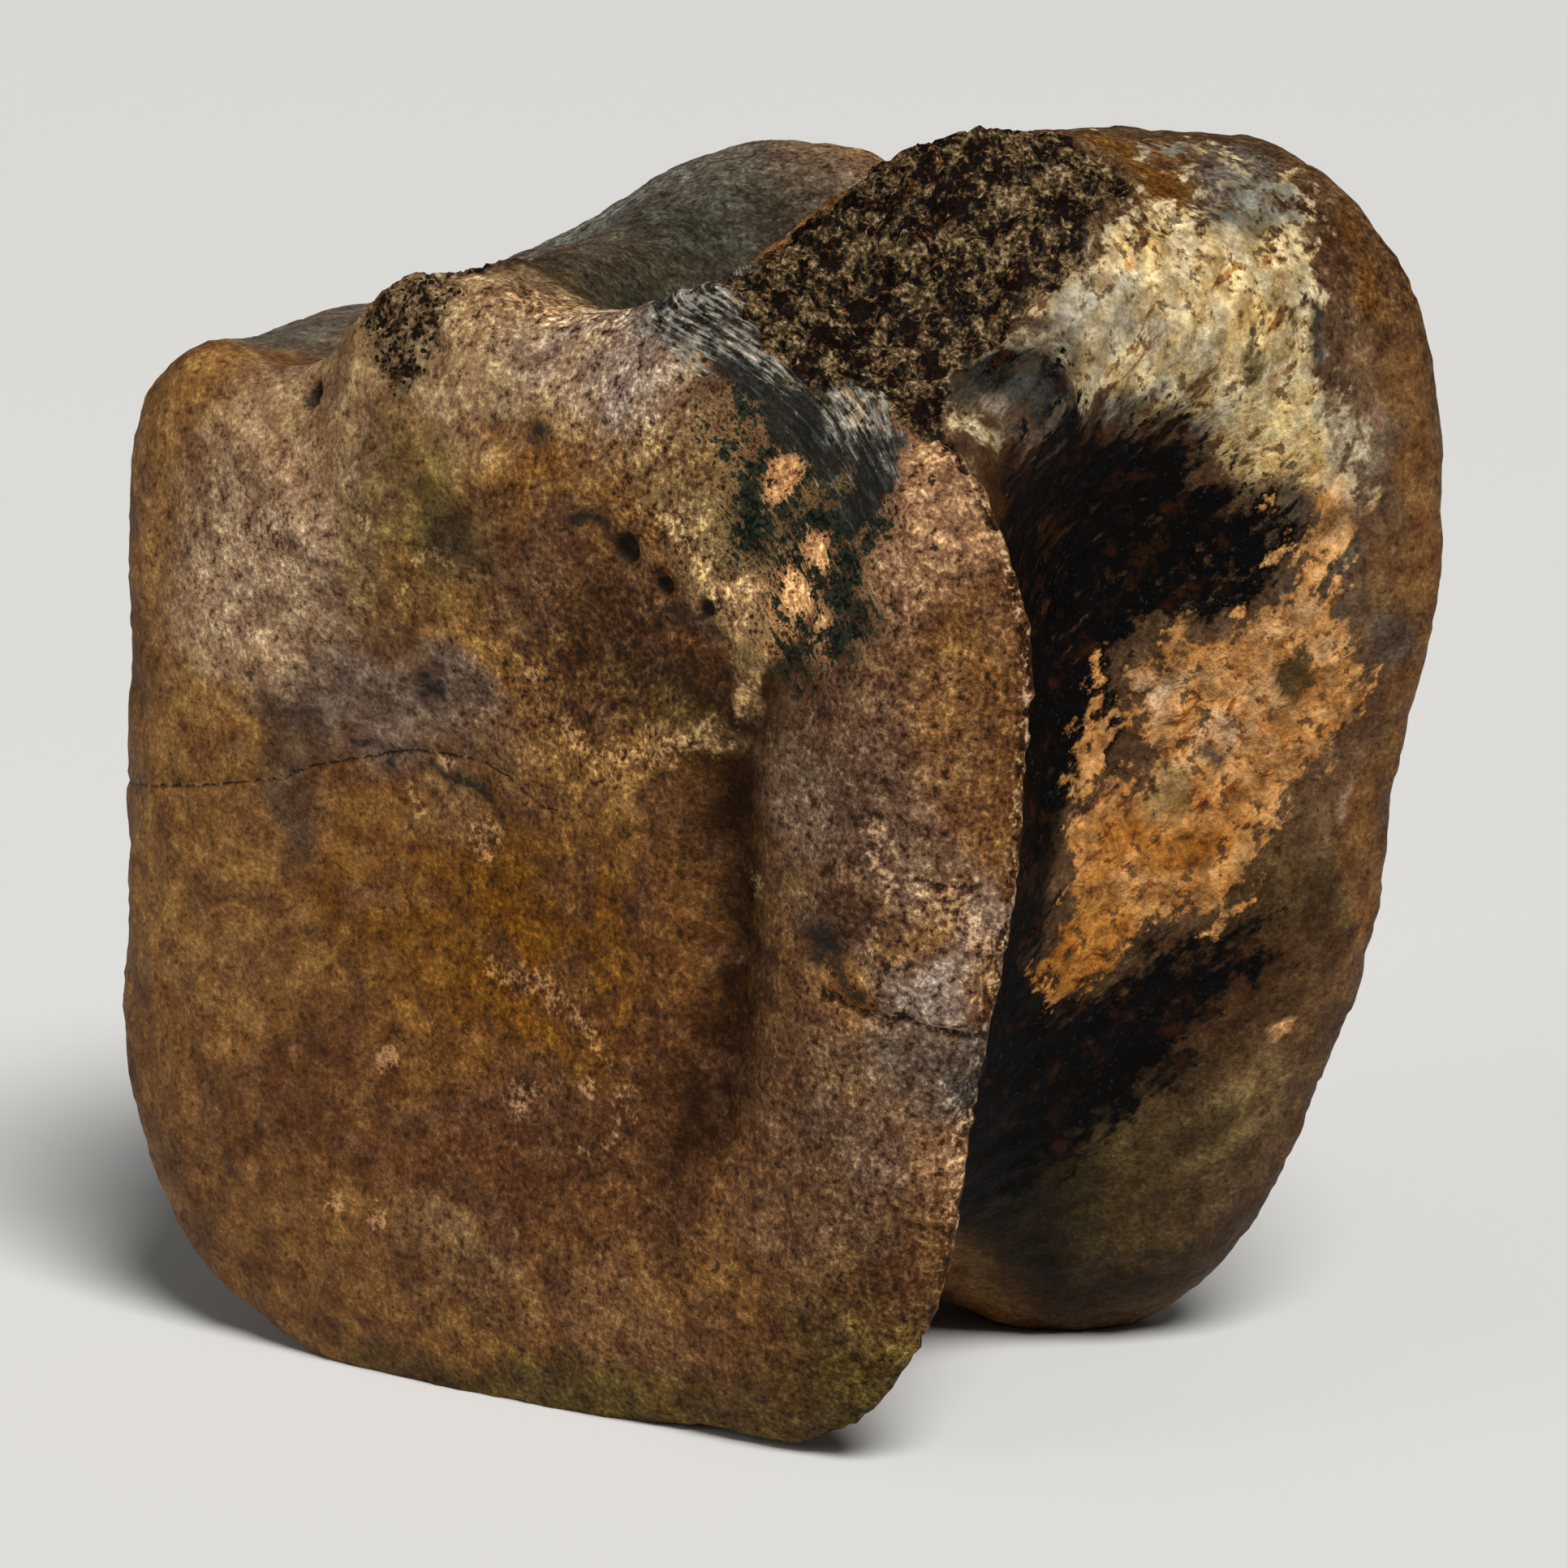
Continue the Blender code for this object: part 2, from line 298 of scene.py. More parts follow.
def bone_points(angles, rows):
    """Points of the skin: a radius at each angle about the axis, a y, and the outward push."""
    near_radius, near_y = near_face(angles, rows / NEAR_ROWS)
    flank_radius, flank_y = flank(angles, (rows - NEAR_ROWS) / FLANK_ROWS)
    far_radius, far_y = far_face(angles, (1.0 - rows) / (1.0 - NEAR_ROWS - FLANK_ROWS))
    on_near = rows <= NEAR_ROWS
    on_far = rows >= NEAR_ROWS + FLANK_ROWS
    radius = np.where(on_near, near_radius, np.where(on_far, far_radius, flank_radius))
    y = np.where(on_near, near_y, np.where(on_far, far_y, flank_y))
    across = np.stack([np.cos(angles), np.zeros_like(angles), np.sin(angles)], axis=1)
    points = across * radius[:, None] + (AXIS_X, 0.0, AXIS_Z)
    points[:, 1] = y
    share = radius / radius_of(NEAR_RIM, angles)
    points += across * (outward(points) * smooth(share))[:, None]
    return points


# %% [markdown]
# ## The grid
# The mesh may have just under 200,000 triangles. The grid lines are crowded a little towards the
# upper right, where the broken bone has the finest forms, and each face's middle is one point.

# %% The grid of the skin
ROUND = 440
ALONG = 226
CROWDING = 0.3
CROWD_TOWARDS = math.radians(65)


def crowd(angles):
    """Angle minus a sine: the lines stand closest round the angle that is crowded towards."""
    return angles - CROWDING * np.sin(angles - CROWD_TOWARDS)


def skin_grid():
    """Angles and rows of every point: a near pole, rings from near to far, and a far pole."""
    turns = crowd(np.linspace(0.0, 2.0 * math.pi, ROUND, endpoint=False))
    rings = np.arange(1, ALONG) / ALONG
    angles = np.concatenate([[0.0], np.tile(turns, ALONG - 1), [0.0]])
    rows = np.concatenate([[0.0], np.repeat(rings, ROUND), [1.0]])
    return angles, rows


def skin_faces():
    """Quads between neighbouring rings, and a fan of triangles round each pole, wound outwards."""
    first = 1 + ROUND * np.arange(ALONG - 2)[:, None]
    here = np.arange(ROUND)[None, :]
    after = (here + 1) % ROUND
    quads = np.stack([first + here, first + after, first + ROUND + after, first + ROUND + here], -1)
    last = 1 + ROUND * (ALONG - 2)
    spin = np.arange(ROUND)
    spun = (spin + 1) % ROUND
    near_fan = np.stack([np.zeros(ROUND, int), 1 + spun, 1 + spin], -1)
    far_fan = np.stack([np.full(ROUND, last + ROUND), last + spin, last + spun], -1)
    return quads.reshape(-1, 4), np.concatenate([near_fan, far_fan])


def outward_normals(points):
    """Unit normals of the rings: the slope round the bone crossed with the slope along it."""
    rings = points[1:-1].reshape(ALONG - 1, ROUND, 3)
    round_slope = np.roll(rings, -1, axis=1) - np.roll(rings, 1, axis=1)
    along_slope = np.gradient(rings, axis=0)
    normals = np.cross(along_slope, round_slope).reshape(-1, 3)
    normals = np.concatenate([[[0.0, -1.0, 0.0]], normals, [[0.0, 1.0, 0.0]]])
    normals /= np.linalg.norm(normals, axis=1)[:, None] + 1e-12
    if (normals[1] * (0.0, -1.0, 0.0)).sum() < 0.0:
        normals[1:-1] *= -1.0
    return normals


angles, rows = skin_grid()
quads, fans = skin_faces()
base = bone_points(angles, rows)
normals = outward_normals(base)
print("skin:", len(base), "points and", 2 * len(quads) + len(fans), "triangles")

# %% [markdown]
# ## Where things are
# The small forms and the minerals are placed on two maps: the near face seen from the front, in
# x and z, and the right flank seen from the side, in y and z. An outline drawn on a map becomes a
# signed distance, in millimetres inside its edge, and that gives both crisp and soft edges.


# %% Maps and outlines
def inside_by(a, b, outline):
    """Signed distance to a closed outline: to its nearest edge, positive inside it."""
    best = np.full(a.shape, np.inf)
    odd = np.zeros(a.shape, bool)
    for (a0, b0), (a1, b1) in zip(outline, outline[1:] + outline[:1]):
        da, db = a1 - a0, b1 - b0
        t = np.clip(((a - a0) * da + (b - b0) * db) / (da * da + db * db), 0.0, 1.0)
        best = np.minimum(best, np.hypot(a - a0 - t * da, b - b0 - t * db))
        crosses = (b0 > b) != (b1 > b)
        odd ^= crosses & (a < a0 + (b - b0) * da / (db if db else 1e-9))
    return np.where(odd, best, -best)


def from_line(a, b, line):
    """Distance to an open line of points."""
    best = np.full(a.shape, np.inf)
    for (a0, b0), (a1, b1) in zip(line, line[1:]):
        da, db = a1 - a0, b1 - b0
        t = np.clip(((a - a0) * da + (b - b0) * db) / (da * da + db * db), 0.0, 1.0)
        best = np.minimum(best, np.hypot(a - a0 - t * da, b - b0 - t * db))
    return best


def ellipse(a, b, middle, reach):
    """1 at the middle, falling as a smooth step to 0 at the reach."""
    return 1.0 - smooth(np.hypot((a - middle[0]) / reach[0], (b - middle[1]) / reach[1]))


def bell(away, width):
    """Bell curve of a distance: e to the minus square of the distance over the width."""
    return np.exp(-((away / width) ** 2))


def spot(a, b, middle, radius):
    """A round spot, flat inside: e to the minus fourth power of the distance over the radius."""
    away = np.hypot(a - middle[0], b - middle[1]) / radius
    return np.exp(-(away**4))


# The near face's colours run on past its rim, but they end sharply at the keen edge on the right
# and along the left shoulder. The worn beads stand on the rows just before the rim.
SHOULDER_FROM, SHOULDER_TO, SHOULDER_FADE = math.radians(110), math.radians(170), 0.12
PAST_RIM_ROWS, SHARP_ROWS = 0.032, 0.007
RIGHT_FROM, RIGHT_FADE = 18.0, 8.0
BEADS_BEFORE, BEAD_ROWS = 0.009, 0.011
BEADS_FROM, BEADS_FADE = 28.0, 6.0

x, y, z = base.T
crisp = smooth(3.0 * keenness(angles))
shoulder = smooth((angles - SHOULDER_FROM) / SHOULDER_FADE)
shoulder *= smooth((SHOULDER_TO - angles) / SHOULDER_FADE)
past_rim = PAST_RIM_ROWS * (1.0 - np.maximum(crisp, shoulder))
ON_NEAR = smooth(0.5 + (NEAR_ROWS + past_rim - rows) / (SHARP_ROWS + 2.0 * past_rim))
ON_RIGHT = smooth((x - RIGHT_FROM) / RIGHT_FADE) * (1.0 - ON_NEAR)
ON_RIM = bell(rows - NEAR_ROWS + BEADS_BEFORE, BEAD_ROWS) * smooth((x - BEADS_FROM) / BEADS_FADE)
print("near face:", int((ON_NEAR > 0.5).sum()), "points, right flank:", int((ON_RIGHT > 0.5).sum()))

# %% [markdown]
# ## The small forms of the near face
# The near face is a shallow dish. On its right a worn lip and a dark valley part it from the broad
# band of the rim. A few pits, a nutrient hole, three cracks and a dented scar are carved in. Each
# is a formula of the distance to its line or middle, so its width and depth are plain numbers.

# %% Carving the near face
VALLEY = [
    (28.4, 67), (26.8, 62.6), (25.0, 59.4), (23.3, 57.3), (22.2, 53.8), (21.8, 50), (22.1, 46),
    (22.5, 41.6), (22.5, 36.4), (21.9, 32.3), (20.5, 27.1), (18.1, 23.1), (15.5, 19),
]
VALLEY_WIDTH, VALLEY_DEPTH = 3.2, 0.6
LIP = [(27.5, 68), (25.6, 63), (23.2, 59.4), (20.2, 57), (16.1, 55.6)]
LIP_WIDTH, LIP_HEIGHT = 1.5, 0.45
PITS = [
    ((-22.1, 81.2), 1.0, 2.2),
    ((12.9, 71.5), 1.3, 1.5),
    ((16.6, 68.8), 0.9, 1.1),
    ((21.1, 67.5), 0.8, 0.9),
    ((10.6, 73.6), 1.2, 0.5),
    ((38.0, 76.5), 0.5, 0.8),
    ((-7.2, 86.0), 1.1, 1.0),
]
LEFT_CRACK = [
    (-46, 46.2), (-41.6, 46.7), (-31.6, 48.0), (-23, 49.5), (-20.4, 50.7), (-15.4, 51.8),
    (-10.2, 53.0), (-3.3, 52.8), (0.1, 51.4), (3.6, 49.6),
]
RIGHT_CRACK = [(34.6, 38.3), (37.1, 37.5), (39.2, 37.2), (40.6, 37.3), (42.0, 36.6), (44.2, 35.9)]
SMALL_CRACK = [(41.8, 48.4), (43.0, 47.9), (44.6, 47.9)]
CRACKS = [(LEFT_CRACK, 0.25, 0.7), (RIGHT_CRACK, 0.9, 1.7), (SMALL_CRACK, 0.4, 1.2)]
CRACK_WIDTH = 0.42
OLD_EDGE = [
    (-22.1, 81.2), (-27.5, 79.6), (-31.5, 76.8), (-35.5, 71.5), (-37.6, 66.0), (-38.5, 60.0),
]
OLD_EDGE_WIDTH, OLD_EDGE_DEPTH = 1.3, 0.3
DISH_TEAR = [(15.5, 65.2), (18.6, 65.6), (22.3, 65.4)]
TEAR_WIDTH, TEAR_DEPTH = 0.6, 0.35
SCAR, SCAR_REACH, SCAR_DEPTH = (35.3, 42.1), (4.6, 3.8), 1.1


def near_carving(x, z):
    """Height on the near face: grooves are bell curves of the distance to them, pits are spots."""
    height = -VALLEY_DEPTH * bell(from_line(x, z, VALLEY), VALLEY_WIDTH)
    height += LIP_HEIGHT * bell(from_line(x, z, LIP), LIP_WIDTH)
    for middle, radius, depth in PITS:
        height -= depth * spot(x, z, middle, radius)
    for line, depth, _ in CRACKS:
        height -= depth * bell(from_line(x, z, line), CRACK_WIDTH)
    height -= OLD_EDGE_DEPTH * bell(from_line(x, z, OLD_EDGE), OLD_EDGE_WIDTH)
    height -= TEAR_DEPTH * bell(from_line(x, z, DISH_TEAR), TEAR_WIDTH)
    height -= SCAR_DEPTH * ellipse(x, z, SCAR, SCAR_REACH)
    return height


carving = ON_NEAR * near_carving(x, z)
print("deepest cut on the near face:", carving.min().round(2), "mm")

# %% [markdown]
# ## The zones of the minerals
# Each mineral lies in its own zone, and the zones' edges matter more to the look than their
# colours do. So the zones are drawn as outlines in millimetres. They wander a little by noise, are
# kept on the mesh as soft masks, and the finish frays them further at a finer scale.

# %% Zones as outlines
BLACK_STAIN = [
    (-9, 44), (-11, 52), (-14, 60), (-16, 68), (-17, 76), (-15, 80.5), (-11.6, 81.5), (-12.6, 86.4),
    (-10.2, 86.6), (-8.6, 84.4), (-4.7, 82.8), (-0.7, 81.2), (3.8, 79.9), (7.4, 78.4), (10.4, 76.2),
    (13.8, 75.2), (16.0, 71.5), (15.4, 67.6), (12.0, 65.2), (8.4, 63.8), (5.6, 62.2), (5.6, 57),
    (5.2, 51.5), (2.4, 50.0), (-0.4, 49), (-1.4, 44),
]
LOWER_STAIN = [
    (-9, 44), (0, 40), (0, 35.5), (5, 33.5), (9, 37.5), (14, 40), (17.5, 37.5), (16, 31),
    (13.5, 26), (9, 20.5), (4, 12), (-9, 10),
]
ROUGH_PATCH = [
    (14.8, 75.4), (17.2, 73.5), (18.2, 68), (19.2, 62.3), (20.6, 57.6), (21, 53.5), (18.2, 51.2),
    (17.6, 47.5), (15.6, 45.4), (14.8, 42.8), (11.4, 40.4), (7.2, 39), (6, 36.5), (4.4, 35),
    (2.2, 33), (0.2, 37), (0.8, 42), (1.6, 46.4), (2.0, 50.2), (2.4, 53), (2.6, 58), (3.2, 60.2),
    (3.4, 57.5), (4.0, 51.0), (7.2, 50.2), (7.6, 55.3), (7.0, 58.8), (7.8, 60.9), (9.4, 62.7),
    (11.4, 64.2), (14.6, 65.4), (15.4, 70),
]
CREAM_PATCH = [
    (-9.6, 88.6), (-7.0, 90.6), (-4.4, 92.6), (-1.6, 95.2), (0.8, 96.6), (4.6, 97.6), (8.6, 97.9),
    (12.4, 98.2), (16, 99.2), (21, 100), (22.5, 98.2), (19, 95.6), (16.4, 92.6), (15.0, 90),
    (14.8, 86), (17.5, 82), (18.6, 78.5), (18.4, 74.5), (17.4, 71.4), (14.4, 72.6), (13.0, 75.2),
    (10.4, 76.4), (8.0, 78.0), (4.8, 79.9), (0.4, 80.8), (-4.7, 83), (-8.6, 84), (-10, 85.6),
]
GREEN_CRUST = [
    (20.0, 83.5), (20.6, 80.5), (23.4, 77.5), (24.0, 74), (25.4, 70.5), (26.2, 66.4), (27.2, 63.6),
    (31, 63), (35.2, 65), (37.4, 68.5), (38.0, 72.4), (37, 76), (35.4, 79), (31, 82), (25.5, 84.4),
]
FIBRES = [
    (9, 90), (12.5, 95.5), (20, 96.5), (26, 92), (31, 88.5), (34.6, 86), (37.0, 82.6), (37.3, 79.4),
    (36.3, 76.4), (34.4, 77.0), (32.6, 79.0), (30, 80.6), (26, 82.2), (22, 84.4), (17, 86.6),
    (12.5, 88.0),
]
TEAL_LOBE = [
    (-18.4, 83), (-18, 86.4), (-14, 89.4), (-10, 89), (-9, 86.6), (-11, 85), (-11.5, 81.6),
    (-15, 81),
]
BROKEN_RIGHT = [
    (16.2, -12.6), (21.5, -22.7), (25.6, -25.4), (28.5, -27.3), (32.1, -28.6), (35.4, -28.2),
    (39.4, -30.0), (41.4, -29.0), (37.8, -21.3), (36.1, -16.6), (37.7, -10.4), (38.1, -4.0),
    (40.2, 0.9), (39.5, 5.2), (38.7, 8.8), (38.1, 15.1), (33.7, 19.8), (29, 21), (24, 16),
    (20, 8), (17.2, 0), (15.6, -7),
]
BROKEN_LEFT = [
    (-16.5, 84.2), (-17.6, 88), (-16.8, 91), (-13.5, 93), (-9.8, 92.5), (-7.4, 88), (-7.3, 85),
    (-8.8, 82.2), (-12.2, 81.2),
]
CRUST_COVER = 0.58
CRUST_SPOTS = [
    ((35.0, 76.8), (2.9, 2.0), 0.6),
    ((35.0, 73.6), (1.6, 2.4), 0.55),
    ((36.6, 69.6), (1.7, 3.6), 0.65),
    ((34.6, 66.0), (2.6, 1.6), 0.55),
    ((30.6, 64.2), (3.0, 1.4), 0.6),
    ((26.6, 74.8), (1.7, 3.6), 0.4),
    ((27.0, 70.4), (1.3, 3.2), 0.3),
    ((25.6, 77.6), (1.8, 2.6), 0.45),
    ((23.4, 84.2), (3.6, 1.6), 0.5),
    ((29.2, 81.6), (2.8, 1.6), 0.65),
    ((32.6, 75.6), (1.5, 2.0), 0.45),
    ((30.8, 70.2), (1.4, 1.2), 0.4),
    ((37.0, 73.4), (2.0, 2.6), 0.6),
    ((29.2, 68.4), (2.6, 2.9), -0.9),
    ((32.6, 72.8), (2.4, 2.3), -0.9),
    ((28.4, 79.0), (1.2, 2.6), -0.8),
    ((32.9, 66.9), (1.1, 2.2), -0.7),
    ((24.2, 69.2), (1.6, 4.0), -0.5),
]
FLANK_ZONES = {
    "stain": (BLACK_STAIN, 3.0),
    "low_stain": (LOWER_STAIN, 4.0),
    "rough": (ROUGH_PATCH, 2.2),
    "cream": (CREAM_PATCH, 3.2),
    "lobe": (TEAL_LOBE, 2.0),
}
WORN_STAIN, WORN_REACH, WORN_BY = (-5, 71), (4.5, 10), 0.4
CRUST_SOFT, FIBRES_SOFT, SPONGE_SOFT, PORES_SOFT = 2.0, 1.5, 1.2, 1.5
FIBRES_BACK, PORES_BACK, BACK_FADE = -12.0, -8.0, 4.0
STUMPS_FROM, STUMPS_FADE = 74.0, 4.0
SPONGE_LEVEL = 90.0
LOOSE_WAVES = [(11.0, 40, 0.7), (3.2, 50, 0.35)]


def zone(signed, soft):
    """A mask from 0 to 1, one half on the outline, that fades over soft millimetres each way."""
    return np.clip(0.5 + signed / (2.0 * soft), 0.0, 1.0)


def wandered(points, waves):
    """The points moved about by each wander in turn: its wavelength, its seed and its reach."""
    for wavelength, seed, reach in waves:
        points = wander(points, wavelength, seed, reach)
    return points


loose = wandered(base, LOOSE_WAVES)
lx, ly, lz = loose.T
on_top = smooth((z - STUMPS_FROM) / STUMPS_FADE)
masks = {}
for name, (outline, soft) in FLANK_ZONES.items():
    masks[name] = zone(inside_by(ly, lz, outline), soft) * ON_RIGHT
masks["stain"] *= 1.0 - WORN_BY * ellipse(ly, lz, WORN_STAIN, WORN_REACH)

crust = CRUST_COVER * zone(inside_by(lx, lz, GREEN_CRUST), CRUST_SOFT)
for middle, reach, darker in CRUST_SPOTS:
    crust += darker * ellipse(lx, lz, middle, reach)
masks["crust"] = np.clip(crust, 0.0, 1.0) * ON_NEAR
masks["fibres"] = zone(inside_by(lx, lz, FIBRES), FIBRES_SOFT)
masks["fibres"] *= smooth((FIBRES_BACK - y) / BACK_FADE)
# The right stump's break faces up and forwards, so its map has x across, and y + z up from a level
masks["sponge"] = zone(inside_by(lx, ly + lz - SPONGE_LEVEL, BROKEN_RIGHT), SPONGE_SOFT) * on_top
masks["pores"] = zone(inside_by(lx, lz, BROKEN_LEFT), PORES_SOFT)
masks["pores"] *= smooth((PORES_BACK - y) / BACK_FADE)
for name, mask in masks.items():
    print(name, "covers", int((mask > 0.5).sum()), "points")


# %% [markdown]
# ## Rough and broken surfaces
# Broken bone shows its spongy inside: a crumbly net of struts and pores. Weathered bone along the
# rim frays into beads, and the flank has long low ridges. Displacing by noise that is drawn out
# along the grain of the bone gives the ridges, and folding a noise at zero gives the net.

# %% Texture in the shape
DISH_MIDDLE = (4.6, 48.6)
GRAIN_ON_FLANK = (0.15, 0.75, 0.65)


def folded(noise):
    """Sharp valleys where a noise crosses zero, round tops elsewhere: one minus its bell curve."""
    return 1.0 - np.exp(-4.0 * noise**2)


def polar(a, b, middle, reach, slowed):
    """Coordinates round a middle: the way round, at a given reach, and the way out.

    The first two numbers are the arc length at that reach, divided by slowed, and the distance.
    """
    away_a, away_b = a - middle[0], b - middle[1]
    turn = np.arctan2(away_b, away_a) * reach / slowed
    return np.stack([turn, np.hypot(away_a, away_b), np.zeros_like(a)], axis=1)


ARCS = polar(x, z, DISH_MIDDLE, 38.0, 8.0)

# Heights in millimetres
GRAIN_HEIGHT, FINE_GRAIN_HEIGHT = 0.07, 0.035
SPONGE_DEPTH, PORE_DEPTH = 1.3, 0.8
COARSE_CRUMBS, FINE_CRUMBS = 0.55, 0.45
FIBRE_HEIGHT = 0.12
CRUST_HEIGHT, CRUST_SINK = 0.2, 0.05
RIDGE_HEIGHT = 0.09
RIDGES_END, RIDGES_FADE = 0.72, 0.06
ROUGH_HEIGHT, ROUGH_RISE = 0.28, 0.1
BEAD_HEIGHT = 0.15


def crumbling():
    """Share of bone left in the break, 0 in its pores and 1 on its struts, from two nets."""
    coarse = folded(wave_noise(base, 3.2, 20))
    return COARSE_CRUMBS * coarse + FINE_CRUMBS * folded(wave_noise(base, 1.7, 21))


def roughness_of_shape():
    """Height from texture: each zone's mask times its own noise, in millimetres."""
    height = GRAIN_HEIGHT * octaves(base, 6.0, 11, 3)
    height += FINE_GRAIN_HEIGHT * wave_noise(base, 1.7, 15)
    crumbs = crumbling()
    height -= SPONGE_DEPTH * smooth(masks["sponge"] * 2.0) * (1.0 - crumbs)
    height -= PORE_DEPTH * smooth(masks["pores"] * 1.6 - 0.3) * (1.0 - crumbs)
    height += FIBRE_HEIGHT * masks["fibres"] * wave_noise(ARCS, 1.1, 23)
    height += masks["crust"] * (CRUST_HEIGHT * np.abs(octaves(base, 2.4, 25, 2)) - CRUST_SINK)
    ridges = wave_noise(stretched(base, GRAIN_ON_FLANK, 5.0), 2.4, 27)
    ridged = ON_RIGHT * (1.0 - smooth((rows - RIDGES_END) / RIDGES_FADE))
    height += RIDGE_HEIGHT * ridged * ridges
    height += masks["rough"] * (ROUGH_HEIGHT * np.abs(octaves(base, 2.6, 29, 2)) + ROUGH_RISE)
    return height + BEAD_HEIGHT * wave_noise(base, 1.5, 31) * ON_RIM


texture = roughness_of_shape()
points = base + normals * (carving + texture)[:, None]
points[:, 2] = np.maximum(points[:, 2], 0.0)
print("texture moves the skin by up to", np.abs(points - base).max().round(2), "mm")

# %% [markdown]
# ## Fitting the skin to the frame
# The frame's solid has coarser facets than this skin, and the two have to fill the same box. The
# fine skin is therefore laid onto that box, side by side, which changes it by a hair's breadth.

# %% The bone's mesh
def fitted(points):
    """Points in metres, stretched on each axis so that their box is the solid's box."""
    low, high = points.min(axis=0), points.max(axis=0)
    return CAD_LOW + (points - low) / (high - low) * (CAD_HIGH - CAD_LOW)


def bone_mesh(points):
    """Mesh of the skin: its points, its quads and its two fans."""
    mesh = bpy.data.meshes.new("vertebra_skin")
    mesh.from_pydata(points, [], quads.tolist() + fans.tolist())
    mesh.shade_smooth()
    return mesh


placed = fitted(points)
bone = bpy.data.objects.new("fossil_vertebra", bone_mesh(placed))
bpy.context.scene.collection.objects.link(bone)
print("the skin measures", np.round((placed.max(axis=0) - placed.min(axis=0)) / MM, 2), "mm")

# %% [markdown]
# ## The ground colours
# Under the crisp stains the bone changes colour slowly, from pinkish tan through ochre and amber
# to plum brown. A painter would lay these in as soft patches first. Each patch here is an ellipse
# on one of the maps: a named tone, a middle, a reach and a strength, mixed in over what is already
# there. The small islands in the crust have firm edges and come last.

# %% Tones
TONES = {
    "pink_tan": (0.36, 0.245, 0.145),
    "dish_cream": (0.235, 0.146, 0.055),
    "tan": (0.27, 0.180, 0.086),
    "warm_tan": (0.30, 0.170, 0.073),
    "peach": (0.66, 0.36, 0.14),
    "ochre": (0.215, 0.108, 0.029),
    "deep_ochre": (0.145, 0.067, 0.019),
    "amber": (0.135, 0.052, 0.003),
    "top_ochre": (0.12, 0.050, 0.006),
    "brick": (0.120, 0.064, 0.030),
    "umber": (0.050, 0.022, 0.007),
    "dark_umber": (0.014, 0.004, 0.0005),
    "plum": (0.085, 0.034, 0.011),
    "mauve": (0.135, 0.096, 0.072),
    "dusk": (0.055, 0.038, 0.024),
    "taupe": (0.145, 0.098, 0.062),
    "olive": (0.13, 0.088, 0.024),
    "dark_olive": (0.045, 0.032, 0.009),
    "moss": (0.060, 0.050, 0.010),
    "slate": (0.20, 0.168, 0.140),
    "dark_slate": (0.050, 0.056, 0.050),
    "stone": (0.27, 0.205, 0.145),
    "gray_green": (0.112, 0.110, 0.086),
    "dark_gray_green": (0.022, 0.022, 0.013),
    "ash": (0.085, 0.079, 0.058),
    "rust": (0.034, 0.010, 0.001),
    "purple_brown": (0.080, 0.044, 0.019),
    "night": (0.003, 0.003, 0.001),
    "pink_gray": (0.27, 0.21, 0.160),
    "chalk": (0.50, 0.385, 0.21),
    "yellow_chalk": (0.62, 0.44, 0.19),
    "gray_chalk": (0.30, 0.25, 0.175),
    "cold_gray": (0.130, 0.122, 0.100),
    "blue_black": (0.016, 0.018, 0.019),
    "teal": (0.022, 0.032, 0.028),
    "orange": (0.34, 0.13, 0.018),
    "bright_orange": (0.46, 0.16, 0.02),
    "light_peach": (0.52, 0.27, 0.105),
    "burnt_peach": (0.43, 0.20, 0.062),
    "rose_gray": (0.295, 0.200, 0.110),
    "rose_tan": (0.235, 0.132, 0.066),
    "grape": (0.078, 0.037, 0.018),
    "dusk_mauve": (0.128, 0.088, 0.062),
    "pink_chalk": (0.56, 0.37, 0.23),
    "olive_tan": (0.20, 0.135, 0.050),
}
